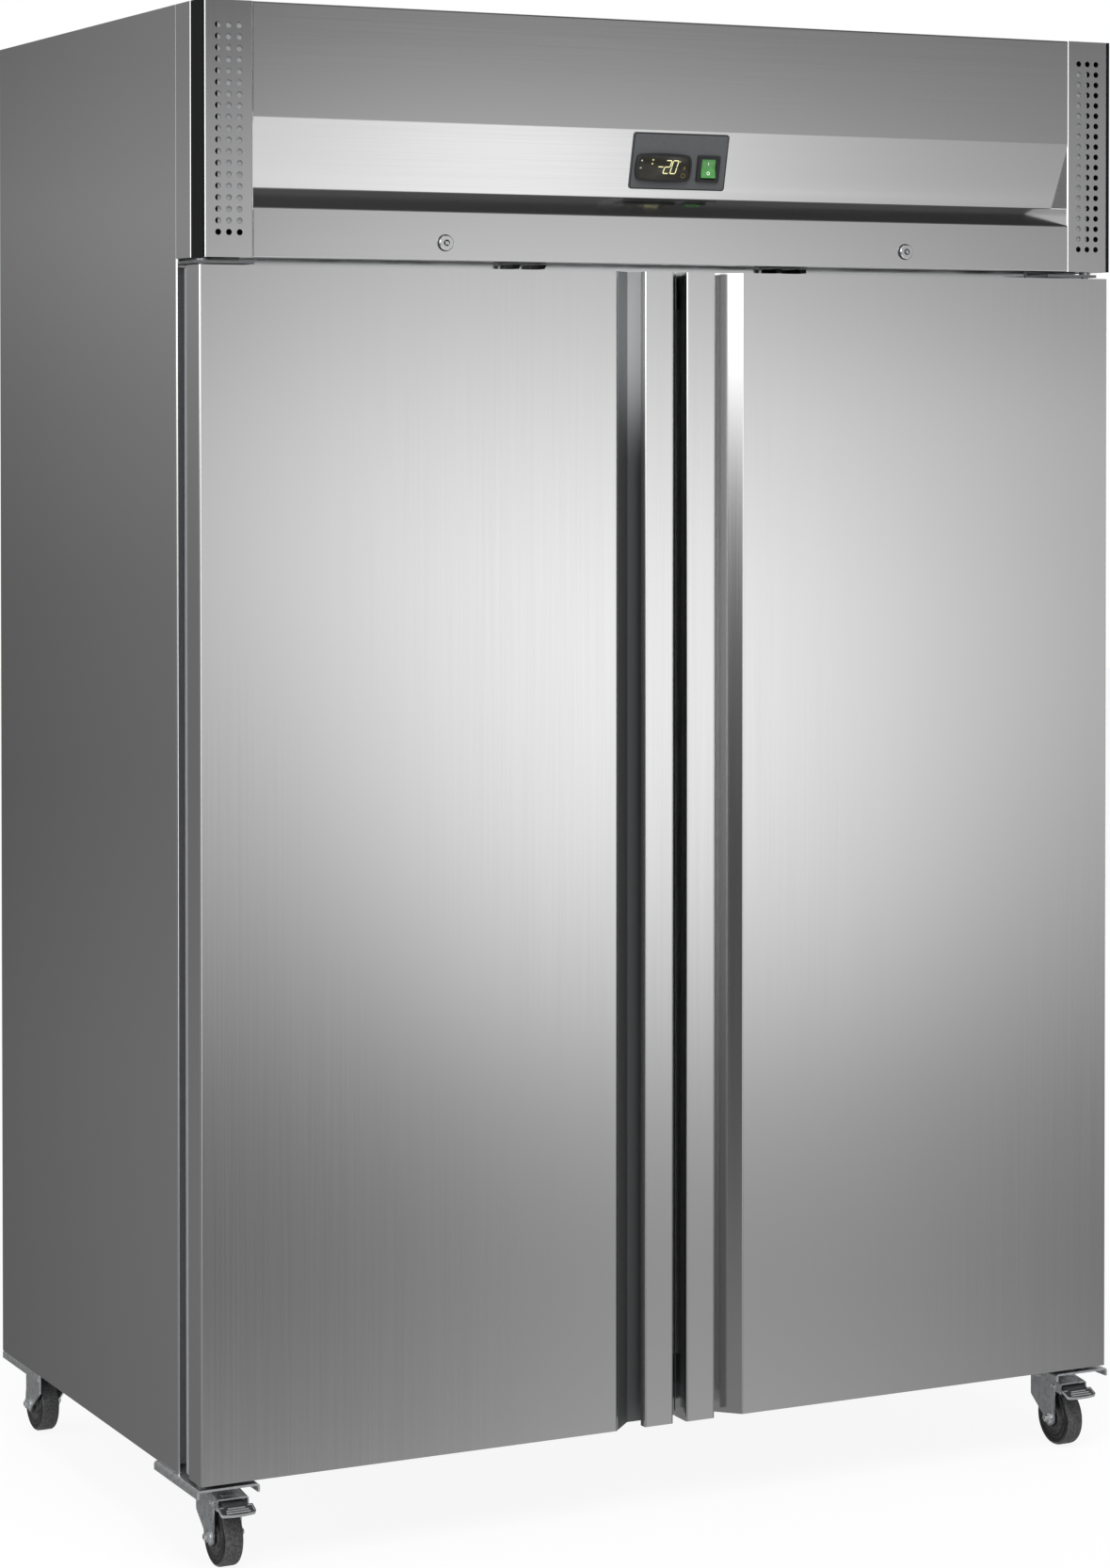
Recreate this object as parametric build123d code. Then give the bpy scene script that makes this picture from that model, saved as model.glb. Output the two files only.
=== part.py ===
from build123d import *
import os
from math import atan2, cos, hypot, sin

os.makedirs("parts", exist_ok=True)

# Overall sizes in millimetres: X to the right, Y to the back, Z up from the floor
cabinet_width = 1380.0
cabinet_height = 2010.0
body_depth = 729.0
door_depth = 83.0          # door faces ahead of the body's front
base_height = 112.5        # floor to the underside of the body
pedal_reach = 15.0         # brake pedals ahead of the door faces

# Stainless sheet
steel = 1.2
bend = 2.5                 # outside bend radius
front_return = 26.0
back_return = 20.0
base_upturn = 25.0
lid_lip = 14.0
lid_slit = 2.4             # between the hood's top return and the lid
slot_share = 0.3           # length of an air slot, of the panel's width
slot_height = 9.0
slot_pitch = 23.0
back_slot_rows = 8
lid_slot_rows = 6
lid_slots_back = 0.25      # middle of the lid's slots, of the body's depth from the back

# Insulated box
foam_side = 60.0
foam_back = 60.0
foam_floor = 74.0
foam_ceiling = 62.0
liner = 1.0
deck_rise = 4.4            # top of the ceiling foam above the hood's lower edge
mullion_width = 100.0
mullion_depth = 55.0

# Hood across the top front
hood_height = 326.4
hood_proud = 5.0           # hood front ahead of the door faces
groove_top = 146.6         # the next three are measured down from the top
groove_vertex = 236.8
groove_bottom = 262.3
groove_in = 21.0
hood_top_return = 36.0
hood_bottom_return = 17.0
end_cap_width = 5.0
end_cap_wall = 3.0
end_cap_lip = 4.0
cheek_return = 18.0

# Perforated vent columns
column_width = 67.0
column_return = 26.0
vent_hole = 8.0
vent_pitch = 14.6
vent_columns = 3
vent_margin = 25.0

# Control plate, centred on the slanted band
plate_width = 145.0
plate_height = 77.0
plate_corner = 4.0
plate_thickness = 1.5
plate_drop = 3.0           # below the band's top edge
control_drop = 8.5         # controller and switch below the plate's centre
fit_gap = 0.3
controller_x = -24.5
controller_width = 84.0
controller_height = 39.0
controller_bow = 2.5
controller_corner = 7.0
controller_proud = 5.0
controller_rim = 3.0
window_depth = 0.8
controller_body_width = 71.0
controller_body_height = 29.0
controller_body_depth = 52.0
switch_x = 44.0
switch_width = 34.0
switch_height = 36.0
switch_proud = 3.0
switch_corner = 2.0
switch_body_width = 28.0
switch_body_height = 31.4
switch_body_depth = 20.0
rocker_width = 21.6
rocker_half = 12.6
rocker_end = 5.0
rocker_dip = 2.6
rocker_below = 5.0
rocker_pivot_depth = 1.5
rocker_tilt = 9.0
rocker_stub = 3.0
rocker_stub_length = 1.6
pocket_depth = 13.0

# Key locks in the hood, one above the middle of each door
lock_height = 23.4         # above the hood's lower edge
lock_diameter = 20.0
lock_proud = 5.0
lock_neck = 17.0
lock_length = 22.0
plug_diameter = 12.0
key_ring_outer = 8.0
key_ring_inner = 4.0
key_ring_depth = 3.0
cam_bite = 8.2             # turned cam's tip below the door's top
cam_width = 12.0
cam_thickness = 3.0
cam_room = 2.0
running = 0.05             # radial clearance of turning fits

# Doors
door_gap = 20.0            # between the two doors
door_rise = 5.0            # door bottom above the underside of the body
door_drop = 9.4            # door top below the hood
skin_depth = 45.0
strip_width = 43.5
groove_width = 43.0
groove_run = 33.5
groove_depth = 34.0
handle_hem = 12.0
handle_foot = 14.0
cap_thickness = 1.5
door_liner_inset = 1.5
door_liner_depth = 12.0
panel_rise = 6.0
panel_inset = 70.0
panel_draft = 20.0
gasket_inset = 26.0
gasket_inset_handle = 14.0
gasket_lip = 22.0
gasket_neck = 12.0
gasket_lip_depth = 12.0
gasket_dart = 7.0
gasket_dart_depth = 7.5
gasket_clearance = 0.3
gasket_corner = 4.0

# Hinges
hinge_inset = 16.0         # axis in from the door's outer edge
hinge_setback = 34.0       # axis behind the door face
pin_diameter = 10.0
pin_in_door = 14.0
pin_head = 16.0
pin_head_height = 2.5
bush_wall = 4.0
bracket_gauge = 4.0
bracket_bend = 6.0
bracket_length = 83.0
bracket_reach = 58.0
bracket_upright = 34.0
bracket_inset = 2.0
bracket_clearance = 2.3
washer_diameter = 20.0

# Magnetic door switches under the hood
door_switch_x = 200.0
door_switch_length = 62.0
door_switch_height = 11.0
door_switch_plate = 4.0
door_switch_foot = 12.0
door_switch_reach = 31.0
door_switch_spacing = 38.0
door_switch_clearance = 2.8

# Casters
wheel_diameter = 80.0
wheel_width = 27.0
wheel_shoulder = 4.5
hub_diameter = 22.0
hub_dish = 4.5
rim_thickness = 9.0
axle_diameter = 8.0
axle_hex = 13.0
axle_head = 5.0
caster_trail = 36.0
swivel_inset = 47.0        # swivel axis in from the cabinet's side
front_swivel = 80.0        # front swivel axis behind the door faces
rear_swivel = 77.0         # rear swivel axis ahead of the back
plate_gauge = 3.0
plate_bend = 4.0
plate_flange = 11.0
plate_overhang = 5.0
corner_plate_width = 86.0
corner_plate_length = 158.0
corner_plate_setback = 2.0
head_diameter = 60.0
head_plate = 4.0
race_diameter = 48.0
king_pin = 10.0
king_head = 18.0
king_head_height = 4.0
fork_gauge = 2.5
crown_gauge = 3.0
crown_diameter = 56.0
fork_drop = 12.5           # fork's crown below the corner plate
fork_clearance = 4.0       # between wheel and fork leg
crown_corner = 4.0
crown_margin = 10.0        # crown's reach beyond the axle
leg_back = 10.0            # leg's edges, from the swivel axis at the top
leg_knee = 24.0            # above the axle
leg_tip = 13.0             # below the axle
leg_front = 14.0           # ahead of the axle
leg_corner = 5.0
leg_slope = 15.0
swivel_gap = 0.3
brake_gauge = 2.0
brake_bend = 3.0
brake_flange = 15.0
brake_back = 31.0          # both ends of the housing, ahead of the swivel axis
brake_front = 70.0
brake_rise = 3.5           # housing's back edge above the fork's crown
brake_fall = 5.0           # housing's front edge below its back edge
pedal_pivot = 51.0
pedal_root = 77.0          # tread's back edge, ahead of the swivel axis
pedal_pivot_drop = 22.0    # below the corner plate's underside
pedal_boss = 5.0
pedal_width = 46.0
pedal_thickness = 5.0
pedal_drop = 8.5
pedal_top = 2.0            # lever's end above the pin, and its underside below
pedal_under = 3.0
pedal_pin = 4.0

# Shelving
shelf_shares = (0.23, 0.5, 0.77)   # shelf heights, of the pilasters' height
shelf_side_gap = 6.0       # shelf to pilaster
shelf_back_gap = 10.0
shelf_wires = 20
wire = 4.0
shelf_frame = 7.0
shelf_corner = 14.0
runner_ledge = 26.0
runner_upright = 24.0
runner_setback = 10.0      # runner ends in from the shelf's ends
pilaster_width = 18.0
pilaster_depth = 24.0
pilaster_top_gap = 176.0
shelf_setback = 14.0       # shelf fronts behind the body's front
pilaster_setback = 70.0

# Cooling machinery on the deck and under the ceiling
compressor_x = 330.0
compressor_back = 250.0
compressor_diameter = 170.0
compressor_body = 120.0
compressor_dome = 46.0
compressor_foot = 14.0
compressor_plate = (210.0, 150.0, 4.0)
compressor_corner = 12.0
compressor_foot_inset = 20.0
compressor_inlet = 40.0    # pipe below the shell's shoulder
coil_pitch = 12.0
coil_fin = 3.0
coil_fin_depth = 12.0
condenser_x = -190.0
condenser_setback = 110.0
condenser_size = (340.0, 60.0, 260.0)
shroud_gauge = 2.0
shroud_plenum = 30.0       # room for the fan behind the condenser
condenser_fan_radius = 108.0
evaporator_setback = 330.0
evaporator_size = (480.0, 130.0, 110.0)
cover_setback = 220.0
cover_depth = 290.0
cover_width = 620.0
cover_drop = 150.0
evaporator_fan_radius = 58.0
fan_hub = 44.0
fan_depth = 22.0
fan_tip_gap = 5.0
fan_blades = 5
blade_gauge = 2.0
blade_root = (13.2, 50.0)  # width and pitch angle
blade_tip = (0.48, 68.0)   # width as a share of the radius, and pitch angle
motor_diameter = 52.0
motor_length = 44.0
motor_shaft = 8.0
spider_rim = 9.0
spider_gauge = 2.0
spider_arm = 10.0
pipe = 9.0
pipe_bend = 24.0
pipe_hole = 12.0
pipe_rise = 30.0           # highest run above the condenser
pipe_end = 0.3             # condenser outlet from its middle, of its length

# Positions worked out from the sizes above
half_width = cabinet_width / 2
total_depth = pedal_reach + door_depth + body_depth
door_y = pedal_reach - total_depth / 2
body_y = door_y + door_depth
back_y = body_y + body_depth
fascia_y = door_y - hood_proud
hood_z = cabinet_height - hood_height
hood_back = fascia_y + hood_top_return
body_height = cabinet_height - base_height
door_top = hood_z - door_drop
door_bottom = base_height + door_rise
door_height = door_top - door_bottom
door_edge = -door_gap / 2
hinge_x = -half_width + hinge_inset
hinge_y = door_y + hinge_setback
deck_z = hood_z + deck_rise
foam_back_y = back_y - steel - bend
inner_half = half_width - steel - foam_side - liner
inner_back = foam_back_y - foam_back - liner
inner_floor = base_height + steel + foam_floor + liner
inner_top = deck_z - foam_ceiling - liner
lock_z = hood_z + lock_height
lock_x = (-half_width + door_edge) / 2
cam_length = lock_z - door_top + cam_bite
plate_under = base_height - plate_gauge
axle_z = wheel_diameter / 2
band_angle = atan2(groove_in, groove_vertex - groove_top)
band_along = Vector(0, sin(band_angle), -cos(band_angle))
plate_centre = Vector(0, fascia_y, cabinet_height - groove_top) + band_along * (plate_drop + plate_height / 2)
band_plane = Plane(plate_centre, x_dir=(1, 0, 0), z_dir=(0, -cos(band_angle), -sin(band_angle)))
nodes = {}


def front_plane(y, z=0.0, x=0.0):
    # Drawn as seen from the front: x right, y up, growing towards the viewer
    return Plane((x, y, z), x_dir=(1, 0, 0), z_dir=(0, -1, 0))


def side_plane(x):
    # Drawn in Y and Z, growing to the right
    return Plane((x, 0, 0), x_dir=(0, 1, 0), z_dir=(1, 0, 0))


def block(x0, x1, y0, y1, z0, z1):
    centre = ((x0 + x1) / 2, (y0 + y1) / 2, (z0 + z1) / 2)
    return Pos(*centre) * Box(abs(x1 - x0), abs(y1 - y0), abs(z1 - z0))


def bent_sheet(path, plane, length, side, gauge=steel, radius=bend):
    line = FilletPolyline(*path, radius=radius)
    profile = make_face(offset(line, amount=gauge, side=side))
    return extrude(plane * profile, amount=length)


def pattern(places, face):
    return Sketch() + [place * face for place in places]


def rod(start, end, diameter):
    axis = Vector(*end) - Vector(*start)
    return extrude(Plane(start, z_dir=axis) * Circle(diameter / 2), amount=axis.length)


def both_sides(shape):
    return [shape, mirror(shape, about=Plane.YZ)]


def add_pair(name, shape):
    left, right = both_sides(shape)
    nodes[name + "_left"] = left
    nodes[name + "_right"] = right


def group(shapes):
    return Compound([solid for shape in shapes for solid in shape.solids()])


# Cabinet body

def side_panel():
    path = [
        (-half_width + front_return, body_y),
        (-half_width, body_y),
        (-half_width, back_y),
        (-half_width + back_return, back_y),
    ]
    panel = bent_sheet(path, Plane.XY.offset(base_height), body_height, Side.RIGHT)
    lid_notch = block(
        -half_width + steel, -half_width + front_return + back_return,
        body_y, back_y, cabinet_height - lid_lip - steel, cabinet_height,
    )
    return panel - lid_notch


def back_panel():
    width = cabinet_width - 2 * back_return
    slot_length = slot_share * width
    slots_z = (deck_z + cabinet_height) / 2 - (base_height + cabinet_height) / 2
    face = Rectangle(width, body_height)
    slots = GridLocations(slot_length + slot_pitch, slot_pitch, 2, back_slot_rows)
    face -= Pos(0, slots_z) * pattern(slots, SlotOverall(slot_length, slot_height))
    return extrude(front_plane(back_y, base_height + body_height / 2) * face, amount=steel)


def base_panel():
    path = [
        (body_y + steel, base_height),
        (back_y - steel, base_height),
        (back_y - steel, base_height + base_upturn),
    ]
    width = half_width - bend
    return bent_sheet(path, side_plane(-width), 2 * width, Side.LEFT)


def top_cover():
    front = hood_back + lid_slit
    back = back_y - 2 * steel
    path = [
        (front, cabinet_height - lid_lip),
        (front, cabinet_height),
        (back, cabinet_height),
        (back, cabinet_height - lid_lip),
    ]
    width = half_width - steel
    lid = bent_sheet(path, side_plane(-width), 2 * width, Side.RIGHT)
    slot_length = slot_share * cabinet_width
    slots = GridLocations(slot_length + slot_pitch, slot_pitch, 2, lid_slot_rows)
    plane = Plane((0, back - lid_slots_back * body_depth, cabinet_height))
    return lid - extrude(plane * pattern(slots, SlotOverall(slot_length, slot_height)), amount=-2 * steel)


def pipe_holes(diameter):
    # The liquid and suction lines pass down through the deck, foam and liner
    return [
        Pos(x, pipe_y, inner_top - liner) * Cylinder(diameter / 2, 4 * foam_ceiling)
        for x in (liquid_x, suction_x)
    ]


def inner_liner():
    box = block(-inner_half, inner_half, body_y, inner_back, inner_floor, inner_top)
    shell = offset(box, amount=liner, openings=box.faces().sort_by(Axis.Y)[0]) - box
    reach = half_width - front_return
    flange = block(-reach, reach, body_y, body_y + liner, base_height, deck_z)
    shell += flange - box
    return shell - pipe_holes(pipe_hole)


def insulation():
    front = body_y + steel
    low = base_height + steel
    outer = half_width - steel
    inner = inner_half + liner
    back = inner_back + liner
    side = block(-outer, -inner, front, foam_back_y, low, deck_z)
    side = fillet(side.edges().filter_by(Axis.Z).group_by(Axis.X)[0], bend - steel)
    rear = block(-inner, inner, back, foam_back_y, low, deck_z)
    floor = block(-inner, inner, front, back, low, inner_floor - liner)
    ceiling = block(-inner, inner, front, back, inner_top + liner, deck_z)
    ceiling -= pipe_holes(pipe_hole)
    return group([*both_sides(side), rear, floor, ceiling])


def machine_deck():
    outer = half_width - bend
    deck = block(-outer, outer, body_y + steel, foam_back_y, deck_z, deck_z + steel)
    return deck - pipe_holes(pipe_hole)


def mullion():
    section = RectangleRounded(mullion_width, mullion_depth, bend)
    height = inner_top - inner_floor
    return extrude(Pos(0, body_y + mullion_depth / 2, inner_floor) * section, amount=height)


# Shelving

outer_pilaster = -inner_half
inner_pilaster = -mullion_width / 2
shelf_x = (outer_pilaster + inner_pilaster) / 2
shelf_width = inner_pilaster - outer_pilaster - 2 * (pilaster_width + shelf_side_gap)
shelf_length = inner_back - body_y - shelf_setback - shelf_back_gap
shelf_y = body_y + shelf_setback + shelf_length / 2
pilaster_height = inner_top - inner_floor - pilaster_top_gap
shelf_levels = [inner_floor + share * pilaster_height for share in shelf_shares]


def pilasters():
    half = pilaster_depth / 2
    wide = pilaster_width
    rear_y = inner_back - half
    front_y = body_y + pilaster_setback
    centre_y = body_y + mullion_depth + half
    posts = []
    for wall_x, turn, y in (
        (outer_pilaster, 1, front_y),
        (outer_pilaster, 1, rear_y),
        (inner_pilaster, -1, centre_y),
        (inner_pilaster, -1, rear_y),
    ):
        near = wall_x
        far = wall_x + turn * wide
        path = [(near, y - half), (far, y - half), (far, y + half), (near, y + half)]
        side = Side.LEFT if turn > 0 else Side.RIGHT
        plane = Plane.XY.offset(inner_floor)
        posts += both_sides(bent_sheet(path, plane, pilaster_height, side))
    return group(posts)


def runners():
    rails = []
    runner_length = shelf_length - 2 * runner_setback
    back = shelf_y + runner_length / 2
    for level in shelf_levels:
        for wall_x, turn in ((outer_pilaster + pilaster_width, 1), (inner_pilaster - pilaster_width, -1)):
            ledge_x = wall_x + turn * runner_ledge
            path = [(wall_x, level + runner_upright), (wall_x, level), (ledge_x, level)]
            side = Side.LEFT if turn > 0 else Side.RIGHT
            rail = bent_sheet(path, front_plane(back), runner_length, side)
            rails += both_sides(rail)
    return group(rails)


def wire_shelf(level):
    z = level + steel + shelf_frame / 2
    plane = Plane((shelf_x, shelf_y, z))
    outline = RectangleRounded(shelf_width - shelf_frame, shelf_length - shelf_frame, shelf_corner)
    inside = RectangleRounded(
        shelf_width - 3 * shelf_frame, shelf_length - 3 * shelf_frame, shelf_corner - shelf_frame,
    )
    frame = extrude(plane * (outline - inside), amount=shelf_frame / 2, both=True)
    pitch = (shelf_width - 4 * shelf_frame) / (shelf_wires - 1)
    wires = pattern(GridLocations(pitch, 0, shelf_wires, 1), Rectangle(wire, shelf_length - 2 * shelf_frame))
    bar = Rectangle(shelf_width - 2 * shelf_frame, shelf_frame)
    bars = pattern(GridLocations(0, shelf_length / 3, 1, 2), bar)
    shelf = frame + extrude(plane * wires, amount=wire / 2, both=True)
    return shelf + extrude(plane * bars, amount=-shelf_frame / 2)


# Hood

def fascia_panel():
    outer = half_width - end_cap_width - column_width
    path = [
        (hood_back, cabinet_height),
        (fascia_y, cabinet_height),
        (fascia_y, cabinet_height - groove_top),
        (fascia_y + groove_in, cabinet_height - groove_vertex),
        (fascia_y, cabinet_height - groove_bottom),
        (fascia_y, hood_z),
        (fascia_y + hood_bottom_return, hood_z),
    ]
    panel = bent_sheet(path, side_plane(-outer), 2 * outer, Side.LEFT)
    panel -= control_cutouts(-4 * steel)
    lock_hole = front_plane(fascia_y, lock_z, lock_x) * Circle(lock_neck / 2 + running)
    return panel - both_sides(extrude(lock_hole, amount=-2 * steel))


def control_cutouts(amount):
    grow = 2 * fit_gap
    holes = Pos(controller_x, -control_drop) * Rectangle(
        controller_body_width + grow, controller_body_height + grow,
    )
    holes += Pos(switch_x, -control_drop) * Rectangle(
        switch_body_width + grow, switch_body_height + grow,
    )
    return extrude(band_plane * holes, amount=amount)


def vent_column():
    outer = -half_width + end_cap_width
    inner = outer + column_width
    path = [
        (outer, fascia_y + column_return),
        (outer, fascia_y),
        (inner, fascia_y),
        (inner, fascia_y + column_return),
    ]
    column = bent_sheet(path, Plane.XY.offset(hood_z), hood_height, Side.LEFT)
    for top in (hood_z + steel, cabinet_height):
        column += block(outer + bend, inner - bend, fascia_y + steel / 2, hood_back, top - steel, top)
    rows = int((hood_height - 2 * vent_margin) / vent_pitch) + 1
    grid = pattern(GridLocations(vent_pitch, vent_pitch, vent_columns, rows), Circle(vent_hole / 2))
    plane = front_plane(fascia_y, hood_z + hood_height / 2, (outer + inner) / 2)
    return column - extrude(plane * grid, amount=-2 * steel)


def end_cap():
    corner = (Align.MIN, Align.MIN)
    profile = Rectangle(end_cap_width, hood_top_return, align=corner)
    profile = fillet(profile.vertices().group_by(Axis.X)[0], bend)
    hollow = Rectangle(end_cap_width - end_cap_wall, hood_top_return - 2 * end_cap_lip, align=corner)
    cap = extrude(Pos(-half_width, fascia_y, hood_z) * profile, amount=hood_height)
    hollow = Pos(-half_width + end_cap_wall, fascia_y + end_cap_lip, hood_z) * hollow
    return cap - extrude(hollow, amount=hood_height - end_cap_wall)


def hood_cheek():
    path = [(-half_width + cheek_return, hood_back), (-half_width, hood_back), (-half_width, body_y)]
    return bent_sheet(path, Plane.XY.offset(hood_z), hood_height, Side.RIGHT)


def control_plate():
    face = RectangleRounded(plate_width, plate_height, plate_corner)
    return extrude(band_plane * face, amount=plate_thickness) - control_cutouts(plate_thickness)


def bowed_face(width, height, bow, corner):
    # A rectangle whose four sides swell outwards
    w = width / 2
    h = height / 2
    edges = Curve() + [
        ThreePointArc((-w + bow, -h + bow), (0, -h), (w - bow, -h + bow)),
        ThreePointArc((w - bow, -h + bow), (w, 0), (w - bow, h - bow)),
        ThreePointArc((w - bow, h - bow), (0, h), (-w + bow, h - bow)),
        ThreePointArc((-w + bow, h - bow), (-w, 0), (-w + bow, -h + bow)),
    ]
    face = make_face(edges)
    return fillet(face.vertices(), corner)


def controller():
    centre = band_plane * Pos(controller_x, -control_drop, plate_thickness)
    bezel = extrude(
        bowed_face(controller_width, controller_height, controller_bow, controller_corner),
        amount=controller_proud,
    )
    front = bezel.edges().group_by(Axis.Z)[-1]
    bezel = fillet(front, controller_rim / 2)
    rim = 2 * controller_rim
    window = bowed_face(
        controller_width - rim, controller_height - rim, controller_bow, controller_corner - controller_rim,
    )
    bezel -= Pos(0, 0, controller_proud) * extrude(window, amount=-window_depth)
    body = extrude(Rectangle(controller_body_width, controller_body_height), amount=-controller_body_depth)
    return centre * (bezel + body)


switch_centre = band_plane * Pos(switch_x, -control_drop, plate_thickness)


def switch_frame():
    flange = extrude(RectangleRounded(switch_width, switch_height, switch_corner), amount=switch_proud)
    body = extrude(Rectangle(switch_body_width, switch_body_height), amount=-switch_body_depth)
    reach = hypot(rocker_half, rocker_end) + fit_gap
    pocket = Pos(0, 0, switch_proud) * extrude(
        Rectangle(rocker_width + 2 * fit_gap, 2 * reach), amount=-pocket_depth,
    )
    stub_reach = rocker_width + 2 * rocker_stub_length + 2 * fit_gap
    stub = Pos(0, 0, -rocker_pivot_depth) * Rot(0, 90, 0) * Cylinder(rocker_stub / 2 + running, stub_reach)
    return switch_centre * (flange + body - pocket - stub)


def power_rocker():
    profile = Polyline(
        (-rocker_half, rocker_end),
        (0, rocker_dip),
        (rocker_half, rocker_end),
        (rocker_half, -rocker_below + rocker_dip),
        (0, -rocker_below),
        (-rocker_half, -rocker_below + rocker_dip),
        close=True,
    )
    rocker = extrude(side_plane(0) * make_face(profile), amount=rocker_width / 2, both=True)
    stub = Rot(0, 90, 0) * Cylinder(rocker_stub / 2, rocker_width + 2 * rocker_stub_length)
    return switch_centre * Pos(0, 0, -rocker_pivot_depth) * Rot(-rocker_tilt, 0, 0) * (rocker + stub)


def lock_barrel():
    front = front_plane(fascia_y, lock_z, lock_x)
    head = extrude(front * Circle(lock_diameter / 2), amount=lock_proud)
    head = chamfer(head.edges().group_by(Axis.Y)[0], lock_proud / 5)
    neck = extrude(front * Circle(lock_neck / 2), amount=-(lock_length - lock_proud))
    bore = extrude(
        front_plane(fascia_y - lock_proud, lock_z, lock_x) * Circle(plug_diameter / 2 + running),
        amount=-lock_length,
    )
    return head + neck - bore


def lock_plug():
    front = front_plane(fascia_y - lock_proud, lock_z, lock_x)
    plug = extrude(front * Circle(plug_diameter / 2), amount=-(lock_length + swivel_gap))
    ring = Circle(key_ring_outer / 2) - Circle(key_ring_inner / 2)
    plug -= extrude(front * ring, amount=-key_ring_depth)
    cam = SlotCenterToCenter(cam_length - cam_width / 2, cam_width)
    cam_y = fascia_y - lock_proud + lock_length + swivel_gap
    cam_middle = lock_x + (cam_length - cam_width / 2) / 2
    return plug + extrude(front_plane(cam_y, lock_z, cam_middle) * cam, amount=-cam_thickness)


def door_switch():
    low = door_top + door_switch_clearance
    plate = block(
        -door_switch_x - door_switch_length / 2, -door_switch_x + door_switch_length / 2,
        body_y - door_switch_plate, body_y, low, low + door_switch_height,
    )
    foot = Polyline(
        (-door_switch_foot / 2, door_switch_height / 2),
        (door_switch_foot / 2, door_switch_height / 2),
        (door_switch_foot / 4, 0),
        (-door_switch_foot / 2, 0),
        close=True,
    )
    for offset_x in (-door_switch_spacing / 2, door_switch_spacing / 2):
        plane = front_plane(body_y - door_switch_plate, low, -door_switch_x + offset_x)
        plate += extrude(plane * make_face(foot), amount=door_switch_reach - door_switch_plate)
    return plate


# Doors, drawn as the left one

def door_outline():
    far = door_y + skin_depth + steel
    floor_y = door_y + groove_depth
    slant = door_edge - strip_width - groove_width
    points = [
        (-half_width, far),
        (-half_width, door_y),
        (slant, door_y),
        (slant + groove_run, floor_y),
        (door_edge, floor_y),
        (door_edge, far),
    ]
    outer = make_face(FilletPolyline(*points, radius=bend, close=True))
    inner = offset(outer, amount=-steel, kind=Kind.ARC)
    behind = Rectangle(3 * cabinet_width, door_depth, align=(Align.CENTER, Align.MIN))
    behind = Pos(0, door_y + skin_depth) * behind
    return outer - inner - behind, inner - behind


skin_section, core_section = door_outline()


def door_skin():
    return extrude(Pos(0, 0, door_bottom) * skin_section, amount=door_height)


def cam_slot():
    # Room in the top of the door for the turned lock cam
    cam_y = fascia_y - lock_proud + lock_length + swivel_gap
    reach = cam_length + cam_room
    sweep = (reach ** 2 - (lock_z - door_top) ** 2) ** 0.5
    half = cam_width / 2 + cam_room
    return block(
        lock_x - half, lock_x + sweep, cam_y - cam_room, cam_y + cam_thickness + cam_room,
        lock_z - reach, door_top,
    )


def hinge_bore(diameter, depth):
    reach = Cylinder(diameter / 2, depth, align=(Align.CENTER, Align.CENTER, Align.MIN))
    return Pos(hinge_x, hinge_y, door_bottom) * reach + Pos(hinge_x, hinge_y, door_top - depth) * reach


bush_diameter = pin_diameter + 2 * bush_wall


def door_core():
    height = door_height - 2 * cap_thickness
    core = extrude(Pos(0, 0, door_bottom + cap_thickness) * core_section, amount=height)
    return core - hinge_bore(bush_diameter, pin_in_door + bush_wall) - cam_slot()


def door_caps():
    plate = extrude(core_section, amount=cap_thickness)
    lower = Pos(0, 0, door_bottom) * plate
    upper = Pos(0, 0, door_top - cap_thickness) * plate
    caps = lower + upper + hinge_bore(bush_diameter, pin_in_door + bush_wall)
    return caps - hinge_bore(pin_diameter + 2 * running, pin_in_door + running) - cam_slot()


def door_frame(inset, handle_inset, corner):
    # A rounded rectangle on the back of the door
    left = -half_width + inset
    right = door_edge - handle_inset
    height = door_height - 2 * inset
    face = RectangleRounded(right - left, height, corner)
    return Pos((left + right) / 2, door_bottom + door_height / 2) * face


def back_of_door(face, near, depth):
    # Grows towards the back from a plane behind the door face
    return extrude(front_plane(door_y + near) * face, amount=-depth)


def gasket_ring(width):
    # A ring of the given width on the gasket's own line
    edge = (gasket_lip - width) / 2
    outer = door_frame(gasket_inset + edge, gasket_inset_handle + edge, gasket_corner)
    inner = door_frame(gasket_inset + edge + width, gasket_inset_handle + edge + width, gasket_corner)
    return outer - inner


liner_back = skin_depth + door_liner_depth


def door_liner():
    outline = door_frame(door_liner_inset, door_liner_inset, gasket_corner)
    pan = back_of_door(outline, skin_depth, door_liner_depth)
    panel = extrude(
        front_plane(door_y + liner_back) * door_frame(panel_inset, panel_inset, panel_draft),
        amount=-panel_rise, taper=panel_draft,
    )
    dart = gasket_dart + 2 * fit_gap
    groove = back_of_door(gasket_ring(dart), liner_back, -gasket_dart_depth - fit_gap)
    return pan + panel - groove


def door_gasket():
    top = door_depth - gasket_clearance
    dart = back_of_door(gasket_ring(gasket_dart), liner_back, -gasket_dart_depth)
    neck = back_of_door(gasket_ring(gasket_neck), liner_back, top - liner_back - gasket_lip_depth)
    lip = back_of_door(gasket_ring(gasket_lip), top - gasket_lip_depth, gasket_lip_depth)
    return dart + neck + lip


def door_handle():
    floor_y = door_y + groove_depth
    strip_x = door_edge - strip_width
    path = [
        (door_edge - handle_foot, floor_y),
        (door_edge, floor_y),
        (door_edge, door_y),
        (strip_x, door_y),
        (strip_x, door_y + handle_hem),
    ]
    return bent_sheet(path, Plane.XY.offset(door_bottom), door_height, Side.RIGHT)


# Hinges

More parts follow.
